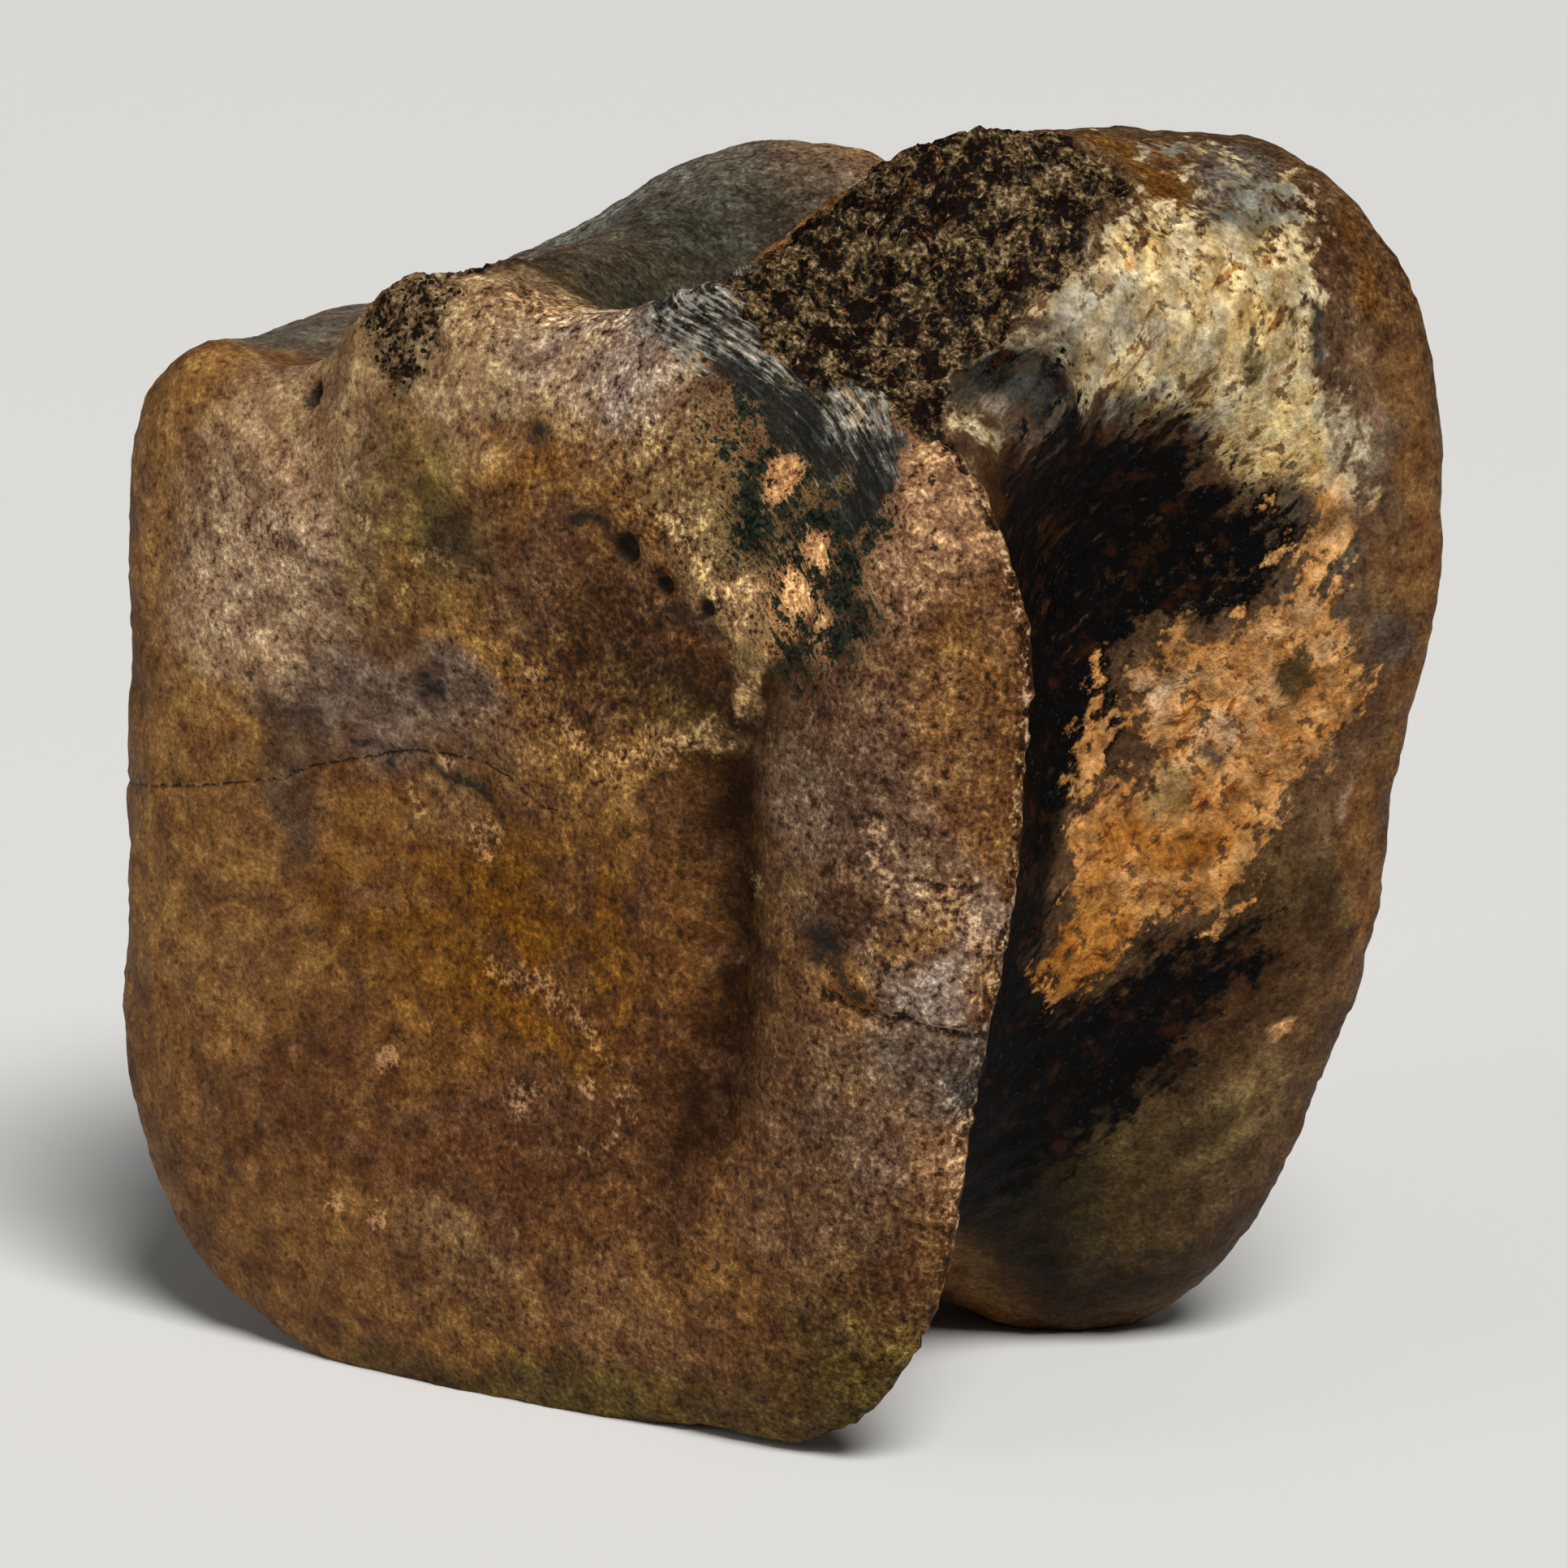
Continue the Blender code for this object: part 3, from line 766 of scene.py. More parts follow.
NEAR_PATCHES = [
    ("tan", (0, 86), (42, 11), 0.95),
    ("rose_gray", (-26, 68), (19, 17), 0.95),
    ("pink_tan", (-22, 69), (10, 9), 0.4),
    ("ochre", (-39, 72), (8, 17), 0.9),
    ("ochre", (-36, 82), (8, 7), 0.85),
    ("ochre", (-31.5, 53), (9, 7), 0.7),
    ("ochre", (-34, 40), (15, 20), 0.7),
    ("deep_ochre", (-36, 20), (15, 14), 0.9),
    ("dusk_mauve", (-13, 55), (15, 7), 0.9),
    ("mauve", (-10, 58), (9, 4), 0.6),
    ("dusk", (-21.8, 52), (6, 4.5), 0.85),
    ("dusk", (-22, 46.5), (4, 3.4), 0.8),
    ("dusk", (-7.7, 58.4), (3.6, 1.5), 0.8),
    ("dusk", (2.0, 49.8), (4, 2.4), 0.5),
    ("tan", (-6, 47.0), (6, 3.6), 0.6),
    ("olive", (-9, 72), (9, 11), 0.8),
    ("dark_olive", (-4.6, 71.5), (4, 5.5), 0.8),
    ("ochre", (-8.9, 67.3), (3, 3), 0.6),
    ("dark_olive", (-14, 76), (5, 4), 0.3),
    ("amber", (1, 77.5), (8, 5.5), 0.75),
    ("brick", (4, 69), (12, 7), 0.7),
    ("umber", (12, 62.5), (16, 7.5), 0.85),
    ("umber", (14.5, 62.4), (6, 4), 0.7),
    ("dark_umber", (14, 62.4), (9, 4.5), 0.45),
    ("ochre", (7, 55), (9, 3.5), 0.5),
    ("olive", (17, 59), (7, 5), 0.5),
    ("tan", (21, 72), (6, 6), 0.7),
    ("ochre", (15, 78), (12, 6), 0.5),
    ("pink_gray", (11, 88), (11, 5.5), 0.9),
    ("olive_tan", (21, 77), (8, 8), 0.75),
    ("amber", (2, 38), (26, 14), 0.95),
    ("amber", (-20, 41), (6, 5), 0.6),
    ("plum", (2, 21), (38, 12), 0.95),
    ("plum", (15, 36), (8, 14), 0.75),
    ("grape", (4, 26), (12, 6), 0.5),
    ("brick", (-12.3, 40.6), (5, 2.6), 0.5),
    ("plum", (-19.7, 22), (6, 5), 0.7),
    ("ochre", (-25, 13), (12, 7), 0.6),
    ("deep_ochre", (-6, 9), (36, 7), 0.6),
    ("tan", (-5.5, 12.4), (6, 3.5), 0.3),
    ("brick", (12, 9), (12, 6), 0.5),
    ("moss", (4, 0), (30, 5), 0.8),
    ("moss", (29, 0), (10, 6), 0.95),
    ("rose_tan", (40, 76), (9, 11), 0.95),
    ("tan", (31, 70), (8, 10), 0.8),
    ("brick", (38, 60), (11, 11), 0.95),
    ("taupe", (34, 52), (11, 9), 0.7),
    ("stone", (44, 44.5), (4, 7), 0.7),
    ("slate", (41.4, 40), (5, 5), 0.75),
    ("dark_slate", (43.4, 32.6), (6.5, 5.5), 0.97),
    ("dusk", (33.6, 42.4), (4.6, 4), 0.85),
    ("brick", (30, 32), (7, 9), 0.7),
    ("brick", (36, 24), (11, 14), 0.85),
    ("brick", (31, 20.5), (6, 6), 0.5),
    ("taupe", (37.5, 26), (6, 9), 0.6),
    ("rose_tan", (44.6, 26), (2.4, 6.5), 0.75),
    ("umber", (40, 15.5), (7, 8), 0.85),
    ("moss", (35, 7), (9, 8), 0.8),
    # These umber patches along the valley paint its shade
    ("umber", (25, 44), (7, 18), 0.7),
    ("dark_umber", (19, 28), (4.2, 5), 0.6),
    ("umber", (17, 20), (6, 5), 0.7),
]
NEAR_ISLANDS = [
    ("olive_tan", (28, 74), (11, 12), 0.8),
    ("warm_tan", (24.0, 81.2), (4, 2.6), 0.6),
    ("peach", (29.0, 68.4), (4.2, 4.4), 1.0),
    ("peach", (32.6, 72.8), (3.2, 3.2), 0.9),
    ("peach", (28.4, 79.0), (1.7, 3.2), 0.7),
    ("peach", (32.9, 66.7), (1.6, 2.8), 0.8),
    ("warm_tan", (24.4, 68.6), (2.2, 4.4), 0.7),
    ("warm_tan", (39.0, 79.4), (2.4, 3.6), 0.7),
    ("dish_cream", (25.0, 62.2), (1.9, 5.0), 0.8),
    ("dish_cream", (19.6, 57.4), (5.0, 1.6), 0.5),
]
FAR_PATCHES = [
    ("rose_gray", (-14, 68), (17, 12), 0.55),
    ("umber", (22, 42), (15, 20), 0.6),
    ("olive_tan", (-32, 34), (12, 17), 0.5),
    ("amber", (4, 25), (18, 10), 0.6),
    ("dusk", (-4, 51), (17, 4), 0.65),
    ("taupe", (30, 74), (9, 9), 0.6),
    ("plum", (-12, 12), (26, 9), 0.6),
]
RIGHT_PATCHES = [
    ("purple_brown", (20, 68), (7, 16), 0.9),
    ("ash", (21, 66), (5, 7), 0.5),
    ("rose_gray", (18.5, 80), (4, 6), 0.6),
    ("ash", (15, 73.5), (5, 6), 0.7),
    ("dark_umber", (-16, 76), (7, 10), 0.85),
    ("brick", (21, 50), (4, 12), 0.5),
    ("dark_olive", (19, 41), (5, 5), 0.6),
    ("deep_ochre", (26, 62), (5, 44), 0.9),
    ("ash", (20.6, 77), (3, 5), 0.5),
    ("cold_gray", (20.6, 91), (3, 4), 0.5),
    ("rose_tan", (20.4, 85.4), (2.6, 4), 0.6),
    ("umber", (17, 33), (9, 11), 0.9),
    ("olive_tan", (20, 23), (5, 7), 0.65),
    # The dark olive and night patches low on the flank paint the shadow of the near body on it
    ("dark_olive", (14, 17), (9, 10), 0.9),
    ("night", (3, 19), (12, 18), 0.97),
    ("umber", (18, 92), (16, 11), 0.8),
    # The rust, dark umber and night patches just behind the keen edge paint the shadow that the rim
    # casts on the flank; the rust also gives that strip its own orange-brown
    ("rust", (-12, 60), (11, 26), 0.97),
    ("dark_umber", (-10, 36), (11, 18), 0.97),
    ("night", (-3, 40), (5, 30), 0.9),
    ("ash", (-8, 82), (7, 5), 0.8),
    # Painted shadow on the underside of the far flange
    ("night", (8, 5), (22, 9), 0.95),
    ("peach", (22.6, 29.2), (1.7, 1.1), 0.9),
    ("brick", (23.5, 23.6), (1.6, 2.2), 0.9),
    ("rose_gray", (22, 48.8), (1.1, 3.0), 0.8),
    ("ochre", (24.0, 37), (2.4, 6), 0.5),
    ("rust", (-5, 71), (6, 12), 0.95),
    ("blue_black", (16.6, 88), (2.6, 3.6), 0.97),
]
MINERAL_PATCHES = [
    ("gray_chalk", (-3, 89), (7, 5), 0.75),
    ("ash", (-9.4, 87.6), (4, 2.6), 0.7),
    ("gray_chalk", (18.5, 78), (4, 7), 0.7),
    ("cold_gray", (16.5, 97.6), (7, 3.4), 0.9),
    ("cold_gray", (4.6, 84.6), (3.4, 3.8), 0.4),
    ("yellow_chalk", (1.6, 95.2), (2.6, 2.2), 0.9),
    ("yellow_chalk", (9, 89), (3.5, 6), 0.6),
    ("blue_black", (16.4, 87.4), (2.4, 3.6), 0.95),
    ("yellow_chalk", (12.6, 79), (4.4, 5), 0.75),
    ("bright_orange", (0.7, 94.0), (1.1, 0.8), 0.95),
    ("dark_olive", (9.4, 86.2), (0.7, 3.0), 0.9),
    ("orange", (11.2, 83.0), (0.8, 1.3), 0.5),
    ("purple_brown", (17.4, 72), (2.4, 2.8), 0.7),
    ("teal", (5.8, 78.9), (3.2, 1.3), 0.95),
    ("ash", (-3, 82.6), (7, 1.9), 0.85),
    ("blue_black", (-11.4, 83.2), (3.0, 5), 0.95),
    ("blue_black", (-14, 85), (4.6, 6), 0.93),
    # A painted highlight: the pale crescent on the lobe's left edge
    ("gray_chalk", (-17.4, 85.2), (0.8, 2.2), 0.85),
    ("pink_gray", (-15.4, 82.6), (1.4, 0.8), 0.8),
    ("light_peach", (12, 56), (6, 6), 0.85),
    ("light_peach", (16.5, 65), (5, 8), 0.85),
    ("pink_chalk", (9.2, 59), (1.8, 1.8), 0.7),
    ("pink_chalk", (12.5, 54.5), (2.2, 1.6), 0.6),
    ("orange", (2.6, 38), (5, 6), 0.8),
    ("orange", (9, 45.5), (8, 2.6), 0.8),
    ("bright_orange", (14, 54.5), (1.2, 1.1), 0.7),
    ("bright_orange", (4.2, 43.5), (2.6, 0.8), 0.6),
    ("olive_tan", (8.4, 50.6), (1.4, 3.6), 0.7),
    ("dark_olive", (16.2, 60.1), (1.5, 2.3), 0.9),
    ("dusk", (11, 52.4), (1.1, 1.1), 0.97),
    ("night", (9.6, 63.6), (1.8, 1.2), 0.95),
]
TOP_PATCHES = [
    ("gray_green", (-24, 12), (36, 28), 1.0),
    # The dark gray-green patches paint the shade in the neural canal and at the foot of its left
    # wall
    ("dark_gray_green", (-8, 12), (13, 13), 0.8),
    ("dark_gray_green", (-8, -15), (9, 8), 0.5),
    ("dark_gray_green", (0, -2), (18, 24), 0.97),
    ("ash", (-34, -12), (18, 14), 0.9),
    ("tan", (-7, -18), (8, 5), 0.9),
    ("purple_brown", (42, 18), (14, 14), 0.8),
    ("ash", (39.5, 18.5), (6, 4.5), 0.8),
    ("top_ochre", (36.4, 11.4), (7, 6), 0.95),
    ("rust", (44.4, 22), (3, 3), 0.85),
    ("top_ochre", (48, 24.4), (2.4, 2.6), 0.8),
]

patch_lists = [NEAR_PATCHES, NEAR_ISLANDS, FAR_PATCHES, RIGHT_PATCHES, MINERAL_PATCHES, TOP_PATCHES]
print(len(TONES), "tones in", sum(len(patches) for patches in patch_lists), "patches")

# %% [markdown]
# ## Painting the ground
# Real bone took its colours from the mud it lay in, so no patch has a clean edge. The patches could
# be nodes in the material, but there are more than a hundred of them, so the colour of each point
# of the mesh is worked out once. The maps they are drawn on wander by noise, which makes each
# ellipse ragged, and clouds of three sizes then make everything a little lighter or darker.


# %% The painted ground
def pulled(tint, tone, weight):
    """The tint drawn towards a tone by a weight for each point."""
    return tint + (np.array(TONES[tone]) - tint) * weight[:, None]


def patched(tint, patches, side, across, up, firm=False):
    """Each patch pulls the tint by its ellipse: the root of a smooth step, or with a firm edge."""
    for tone, middle, reach, strength in patches:
        weight = ellipse(across, up, middle, reach)
        weight = np.minimum(3.0 * weight, 1.0) if firm else np.sqrt(weight)
        tint = pulled(tint, tone, side * strength * weight)
    return tint


def clouded(tint, wavelength, seed, dark, light):
    """The tint times dark in a noise's hollows and times light on its crests."""
    share = smooth(0.5 + 0.42 * octaves(base, wavelength, seed, 2))[:, None]
    return tint * (np.array(dark) + share * (np.array(light) - np.array(dark)))


def drift(wavelength, seed, bias, gain):
    """A share that drifts over the bone: the smooth step of bias plus gain times a noise."""
    return smooth(bias + gain * octaves(base, wavelength, seed, 2))


RAGGED_WAVES = [(15.0, 44, 1.5), (6.0, 54, 0.8), (2.4, 57, 0.35)]
CLOUDS = [
    (13.0, 72, (0.90, 0.88, 0.86), (1.10, 1.10, 1.10)),
    (7.0, 76, (0.93, 0.91, 0.92), (1.07, 1.08, 1.07)),
    (3.4, 80, (0.87, 0.82, 0.81), (1.13, 1.15, 1.16)),
]
MINERAL_CLOUD = (4.0, 84, (0.88, 0.82, 0.72), (1.08, 1.11, 1.16))
UPPER_FROM, UPPER_LEAN, UPPER_FADE = 72.5, 0.25, 8.0
# The shade painted along the valley: where it bends and starts, its width and its strength
BEND_AT, VALLEY_FROM, VALLEY_FADE = 44.0, 17.0, 8.0
VALLEY_SHADE_WIDTH, VALLEY_SHADE_WIDER = 2.5, 1.6
VALLEY_SHADE_SHARE, VALLEY_SHADE_DARKER = 0.9, 0.05
FAR_SIDE_FADE = 6.0
ORANGE_BELOW, ORANGE_FADE = 78.0, 6.0

ragged = wandered(base, RAGGED_WAVES)
rx, ry, rz = ragged.T
tint = np.tile(TONES["deep_ochre"], (len(base), 1))
tint = pulled(tint, "ochre", drift(30.0, 60, 0.4, 0.5))
tint = pulled(tint, "plum", 0.8 * drift(22.0, 64, 0.0, 0.6))
tint = pulled(tint, "ash", 0.7 * drift(26.0, 68, -0.2, 0.5) * (1.0 - ON_NEAR))
tint = pulled(tint, "purple_brown", ON_RIGHT)
tint = patched(tint, RIGHT_PATCHES, ON_RIGHT, ry, rz)
upper = smooth((rz + UPPER_LEAN * ry - UPPER_FROM) / UPPER_FADE) * (1.0 - ON_NEAR)
tint = patched(tint, TOP_PATCHES, upper, rx, ry)
tint = patched(tint, NEAR_PATCHES, ON_NEAR, rx, rz)

# Painted shade lies along the valley, wider and darker above its bend
above_bend = smooth((lz - BEND_AT) / VALLEY_FADE)
valley_shade = bell(from_line(lx, lz, VALLEY), VALLEY_SHADE_WIDTH + VALLEY_SHADE_WIDER * above_bend)
valley_shade *= smooth((lz - VALLEY_FROM) / VALLEY_FADE)
tint = pulled(tint, "dark_umber", (VALLEY_SHADE_SHARE + VALLEY_SHADE_DARKER * above_bend) * valley_shade * ON_NEAR)
tint = pulled(tint, "grape", 0.5 * smooth(0.7 * octaves(ragged, 7.0, 88, 3) - 0.15) * ON_NEAR)
tint = patched(tint, NEAR_ISLANDS, ON_NEAR, lx, lz, firm=True)
far_side = (1.0 - ON_NEAR) * (1.0 - ON_RIGHT) * smooth(y / FAR_SIDE_FADE)
tint = patched(tint, FAR_PATCHES, far_side, rx, rz)
for wavelength, seed, dark, light in CLOUDS:
    tint = clouded(tint, wavelength, seed, dark, light)

mineral = np.tile(TONES["chalk"], (len(base), 1))
mineral = pulled(mineral, "burnt_peach", smooth((ORANGE_BELOW - z) / ORANGE_FADE))
mineral = patched(mineral, MINERAL_PATCHES, ON_RIGHT, ly, lz, firm=True)
mineral = clouded(mineral, *MINERAL_CLOUD)
print("mean tint", tint.mean(axis=0).round(3))

# %% [markdown]
# ## Flecks and shadows on the near face
# Worn bone shows pale where it is chipped and dark where dirt has settled, and the dark marks also
# paint the shade in pits, cracks and the dish's hollows. These small marks are lines and spots with
# a width, gathered in two masks, which the finish later frays with noise. The cracks are thinner
# than the mesh is fine, so they are kept as the height above or below them.

# %% Pale and dark marks
PALE_LINES = [
    ([(27, 66), (25.6, 62.5), (23.4, 59.3)], 0.6, 0.5),
    ([(20.3, 57.4), (18, 56), (14.5, 55.2), (11, 54.6), (7, 55.4)], 1.1, 0.75),
    ([(38.4, 52.6), (39.2, 50.4), (40.2, 47.6)], 0.6, 1.0),
    ([(43.6, 47.2), (44.6, 45), (44.9, 42.5), (44.5, 40.4)], 1.5, 0.7),
    ([(38.5, 43.8), (38.1, 42.0)], 0.4, 0.9),
    ([(-9.9, 51.0), (-9.8, 48.0)], 0.35, 1.0),
    ([(-2.5, 36.6), (3.4, 33.9), (8.0, 31.6)], 1.0, 0.55),
    ([(8.0, 31.6), (11.6, 28.4), (12.8, 24.6), (10.2, 22.2)], 0.8, 0.4),
    ([(1.2, 25.2), (1.7, 26.6), (3.4, 27.6)], 0.6, 0.75),
    ([(-9, 66), (-7, 68.5), (-5, 69)], 0.6, 0.6),
    ([(14, 77), (18, 74.5), (22, 71.5), (25, 68)], 1.5, 0.3),
    ([(-2, 91), (3, 89.2), (7, 90.2), (14, 92.8), (18, 94)], 1.2, 0.6),
    ([(44.6, 31), (44.4, 28.7), (43.6, 25), (42.4, 21)], 1.2, 0.4),
    ([(24.5, 88.6), (27.9, 86.4), (31.2, 84.4), (34.4, 82.4)], 0.7, 0.8),
]
PALE_SPOTS = [
    ((-12.3, 27.3), 1.1, 1.0),
    ((8.7, 27.7), 0.9, 0.7),
    ((-17.7, 14.4), 0.8, 0.9),
    ((-13.4, 14.0), 1.0, 0.9),
    ((-13.0, 71.5), 0.8, 0.8),
    ((2.9, 60.6), 0.7, 0.9),
    ((-6.9, 52.2), 0.9, 0.9),
    ((25.3, 45.9), 1.1, 0.8),
    ((-3.0, 46.3), 1.8, 0.6),
]
# Dark marks: dirt, and painted shade in pits, cracks and the dish's hollows
DARK_LINES = [
    ([(7.6, 73.0), (10.6, 73.4), (12.9, 72.2)], 0.8, 0.75),
    ([(15.5, 65.2), (18.6, 65.7), (22.5, 65.6)], 0.6, 0.7),
    ([(13.8, 77.3), (16.6, 76.2)], 0.9, 0.5),
    ([(-15.0, 52.9), (-10.7, 53.7), (-6.9, 53.0), (-2.5, 51.2), (-0.8, 48.8)], 0.6, 0.6),
    ([(32.5, 43.6), (35.0, 41.0), (36.4, 38.6), (37.6, 37.4)], 0.8, 0.9),
    ([(20.4, 85.3), (22.8, 84.0), (25.2, 82.7), (27.1, 81.7)], 1.0, 1.2),
    ([(27.4, 83.4), (29.0, 82.0), (30.8, 80.6)], 1.1, 1.3),
    ([(33.4, 79.0), (34.6, 77.6), (35.8, 76.4)], 1.3, 1.2),
]
DARK_SPOTS = [
    ((35.6, 80.8), 2.6, 0.5),
    ((-22.1, 81.2), 1.0, 2.2),
    ((12.9, 71.5), 1.3, 1.1),
    ((16.6, 68.8), 0.85, 0.85),
    ((21.1, 67.5), 0.8, 1.0),
    ((4.2, 80.1), 1.4, 0.6),
    ((-0.5, 80.8), 0.6, 0.6),
    ((-7.7, 58.4), 1.8, 0.55),
    ((33.4, 42.4), 2.2, 0.6),
    ((-7.0, 75.2), 1.3, 0.5),
    ((-4.4, 71.6), 2.4, 0.5),
]
CRACK_NEAR, CRACK_FADE = 0.6, 1.9
BEADS_BELOW = 0.35
FULL_BEADS_FROM, FULL_BEADS_FADE = 30.0, 16.0
FIRST_BEADS_FROM, FIRST_BEADS_FADE = 8.0, 10.0
# More grit along a coordinate: how much, from where, and the width of the step up to it
GRIT = 0.44
GRIT_TO_RIGHT = (0.20, -22.0, 26.0)
GRIT_AT_RIGHT = (0.25, 24.0, 14.0)
GRIT_ON_TOP = (0.3, 84.0, 6.0)
GRITTY_PATCHES = [
    ((-25, 68), (17, 18), 0.3),
    ((8, 60), (20, 12), 0.3),
]
GRITTY_CREST = ((22, 76), (24, 24), 0.35)


def marks(lines, spots):
    """1 on the marks and 0 far from them: lines as bell curves, spots, the strongest one kept."""
    mask = np.zeros(len(base))
    for line, width, strength in lines:
        mask = np.maximum(mask, strength * bell(from_line(lx, lz, line), width))
    for middle, radius, strength in spots:
        mask = np.maximum(mask, strength * spot(x, z, middle, radius))
    return mask * ON_NEAR


def above_cracks():
    """Height above the nearest crack over its width, and a mask that is 1 close to a crack."""
    nearest = np.full(len(base), np.inf)
    above = np.zeros(len(base))
    for line, _, wide in CRACKS:
        away = from_line(x, z, line)
        height = (z - np.interp(x, *np.array(line).T)) / wide
        above = np.where(away < nearest, height, above)
        nearest = np.minimum(nearest, away)
    return above, ON_NEAR * (1.0 - smooth((nearest - CRACK_NEAR) / CRACK_FADE))


def rising(along, more, start, width):
    """A smooth step along a coordinate, from 0 at its start to more at its end."""
    return more * smooth((along - start) / width)


def grittiness():
    """How gritty the bone is: a base share, more to the right, on the crest and on top."""
    middle, reach, more = GRITTY_CREST
    grit = GRIT + rising(x, *GRIT_TO_RIGHT) * ON_NEAR
    grit += more * ellipse(x, z, middle, reach)
    for middle, reach, more in GRITTY_PATCHES:
        grit += more * ON_NEAR * ellipse(x, z, middle, reach)
    grit += rising(x, *GRIT_AT_RIGHT) * ON_NEAR
    return np.clip(grit + rising(z, *GRIT_ON_TOP), 0.0, 1.0)


def beaded_rim():
    """Worn beads along the rim: all above, a share of them below, none near the ground."""
    share = BEADS_BELOW + rising(z, 1.0 - BEADS_BELOW, FULL_BEADS_FROM, FULL_BEADS_FADE)
    return ON_RIM * share * smooth((z - FIRST_BEADS_FROM) / FIRST_BEADS_FADE)


masks["pale"] = marks(PALE_LINES, PALE_SPOTS)
masks["dark"] = marks(DARK_LINES, DARK_SPOTS)
masks["above"], masks["cracked"] = above_cracks()
masks["grit"] = grittiness()
masks["rim"] = beaded_rim()

for name in ("pale", "dark"):
    print("marked", name, "are", int((masks[name] > 0.5).sum()), "points")

# %% [markdown]
# ## Handing the paint to the finish
# The finish is a material, and a material can't call these functions. What was worked out for each
# point is therefore kept on the mesh as attributes: two colours, one set of coordinates for the
# combed fibres, and one number for each mask.


# %% What the mesh keeps for the finish
def keep(name, values, kind="FLOAT"):
    """Stores one value, colour or vector for each point of the mesh, for the finish to read."""
    attribute = bone.data.attributes.new(name, kind, "POINT")
    field = {"FLOAT": "value", "FLOAT_COLOR": "color", "FLOAT_VECTOR": "vector"}[kind]
    attribute.data.foreach_set(field, np.ascontiguousarray(values, np.float32).ravel())


keep("tint", np.concatenate([tint, np.ones((len(tint), 1))], axis=1), "FLOAT_COLOR")
keep("mineral", np.concatenate([mineral, np.ones((len(mineral), 1))], axis=1), "FLOAT_COLOR")
keep("arcs", ARCS, "FLOAT_VECTOR")
for name, mask in masks.items():
    keep(name, mask)
print("kept", len(bone.data.attributes), "attributes")

# %% [markdown]
# ## Helpers for the finish
# A finish is a network of nodes. Written out one by one they hide the recipe, so each helper here
# adds one kind of step and returns what comes out of it. Lengths are millimetres: the object
# coordinates are multiplied by a thousand first.


# %% Node helpers
def add(tree, kind, inputs, **settings):
    """One node: its settings, then its inputs, each linked if it comes from a node, or set."""
    node = tree.nodes.new(kind)
    for name, value in settings.items():
        setattr(node, name, value)
    for key, value in inputs.items():
        if isinstance(value, bpy.types.NodeSocket):
            tree.links.new(value, node.inputs[key])
        else:
            node.inputs[key].default_value = value
    return node


def noise(tree, at, size, detail=4.0, rough=0.6):
    """Fractal noise between 0 and 1 whose blots are about size millimetres across."""
    inputs = {"Vector": at, "Scale": 1.0 / size, "Detail": detail, "Roughness": rough}
    return add(tree, "ShaderNodeTexNoise", inputs).outputs[0]


def calc(tree, operation, a, b=0.0, c=0.0):
    """Arithmetic on numbers."""
    return add(tree, "ShaderNodeMath", {0: a, 1: b, 2: c}, operation=operation).outputs[0]


def between(tree, value, low, high):
    """A smooth step from 0 at low to 1 at high."""
    inputs = {0: value, 1: low, 2: high, 3: 0.0, 4: 1.0}
    return add(tree, "ShaderNodeMapRange", inputs, interpolation_type="SMOOTHSTEP").outputs[0]


def mix(tree, share, first, second, blend="MIX"):
    """Two colours mixed by a share from 0 to 1; a colour may be given as three plain numbers."""
    first, second = [(*c, 1.0) if isinstance(c, tuple) else c for c in (first, second)]
    inputs = {0: share, 6: first, 7: second}
    node = add(tree, "ShaderNodeMix", inputs, data_type="RGBA", blend_type=blend)
    return node.outputs[2]


def mottle(tree, colour, share, dark, light, strength=1.0):
    """The colour multiplied by dark where the share is 0 and by light where it is 1."""
    return mix(tree, strength, colour, mix(tree, share, dark, light), "MULTIPLY")


def vector(tree, operation, inputs, output=0):
    """Arithmetic on vectors."""
    return add(tree, "ShaderNodeVectorMath", inputs, operation=operation).outputs[output]


def drawn_out(tree, at, direction, times):
    """Coordinates in which a noise is drawn out along a direction."""
    unit = Vector(direction).normalized()
    dot = vector(tree, "DOT_PRODUCT", {0: at, 1: unit}, "Value")
    back = calc(tree, "MULTIPLY", dot, 1.0 - 1.0 / times)
    part = vector(tree, "SCALE", {0: unit, "Scale": back})
    return vector(tree, "SUBTRACT", {0: at, 1: part})


def kept(tree, name, output="Fac"):
    """A mask, colour or vector that is kept on the mesh."""
    return add(tree, "ShaderNodeAttribute", {}, attribute_name=name).outputs[output]


def frayed(tree, name, fray, amount, edge):
    """A kept mask whose edge is moved about by a noise and made crisp: edge is half its width."""
    mask = kept(tree, name)
    swing = calc(tree, "MULTIPLY_ADD", calc(tree, "SUBTRACT", fray, 0.5), amount, mask)
    inside = between(tree, mask, 0.02, 0.12)
    return calc(tree, "MULTIPLY", between(tree, swing, 0.5 - edge, 0.5 + edge), inside)


def joined(tree, first, second, share):
    """The first noise plus a share of how far the second stands from its middle."""
    return calc(tree, "MULTIPLY_ADD", calc(tree, "SUBTRACT", second, 0.5), share, first)


def layered(tree, colour, layers, strength=1.0):
    """The colour mottled by each layer in turn: a noise, its low and high, a dark and a light."""
    for share, (low, high), dark, light in layers:
        colour = mottle(tree, colour, between(tree, share, low, high), dark, light, strength)
    return colour


print("helpers ready")

# %% [markdown]
# ## The finish of the fossil
# Fossil bone is stone with the grain of bone: mottled at every size, speckled with dark pores and
# pale grit, dull where it is weathered and softly polished where hands and sand have rubbed it.
# One material does it all. The ground is mottled first, then each mineral is laid over it. Noise
# is what a finish costs in rendering, so a few noises of set sizes are shared by all its parts.


# %% The ground, mottled
BLOT, CRUMB, GRAIN = 2.4, 1.1, 0.45
PLAIN = (1.0, 1.0, 1.0)
PORE_DOT = (0.016, 0.010, 0.004)


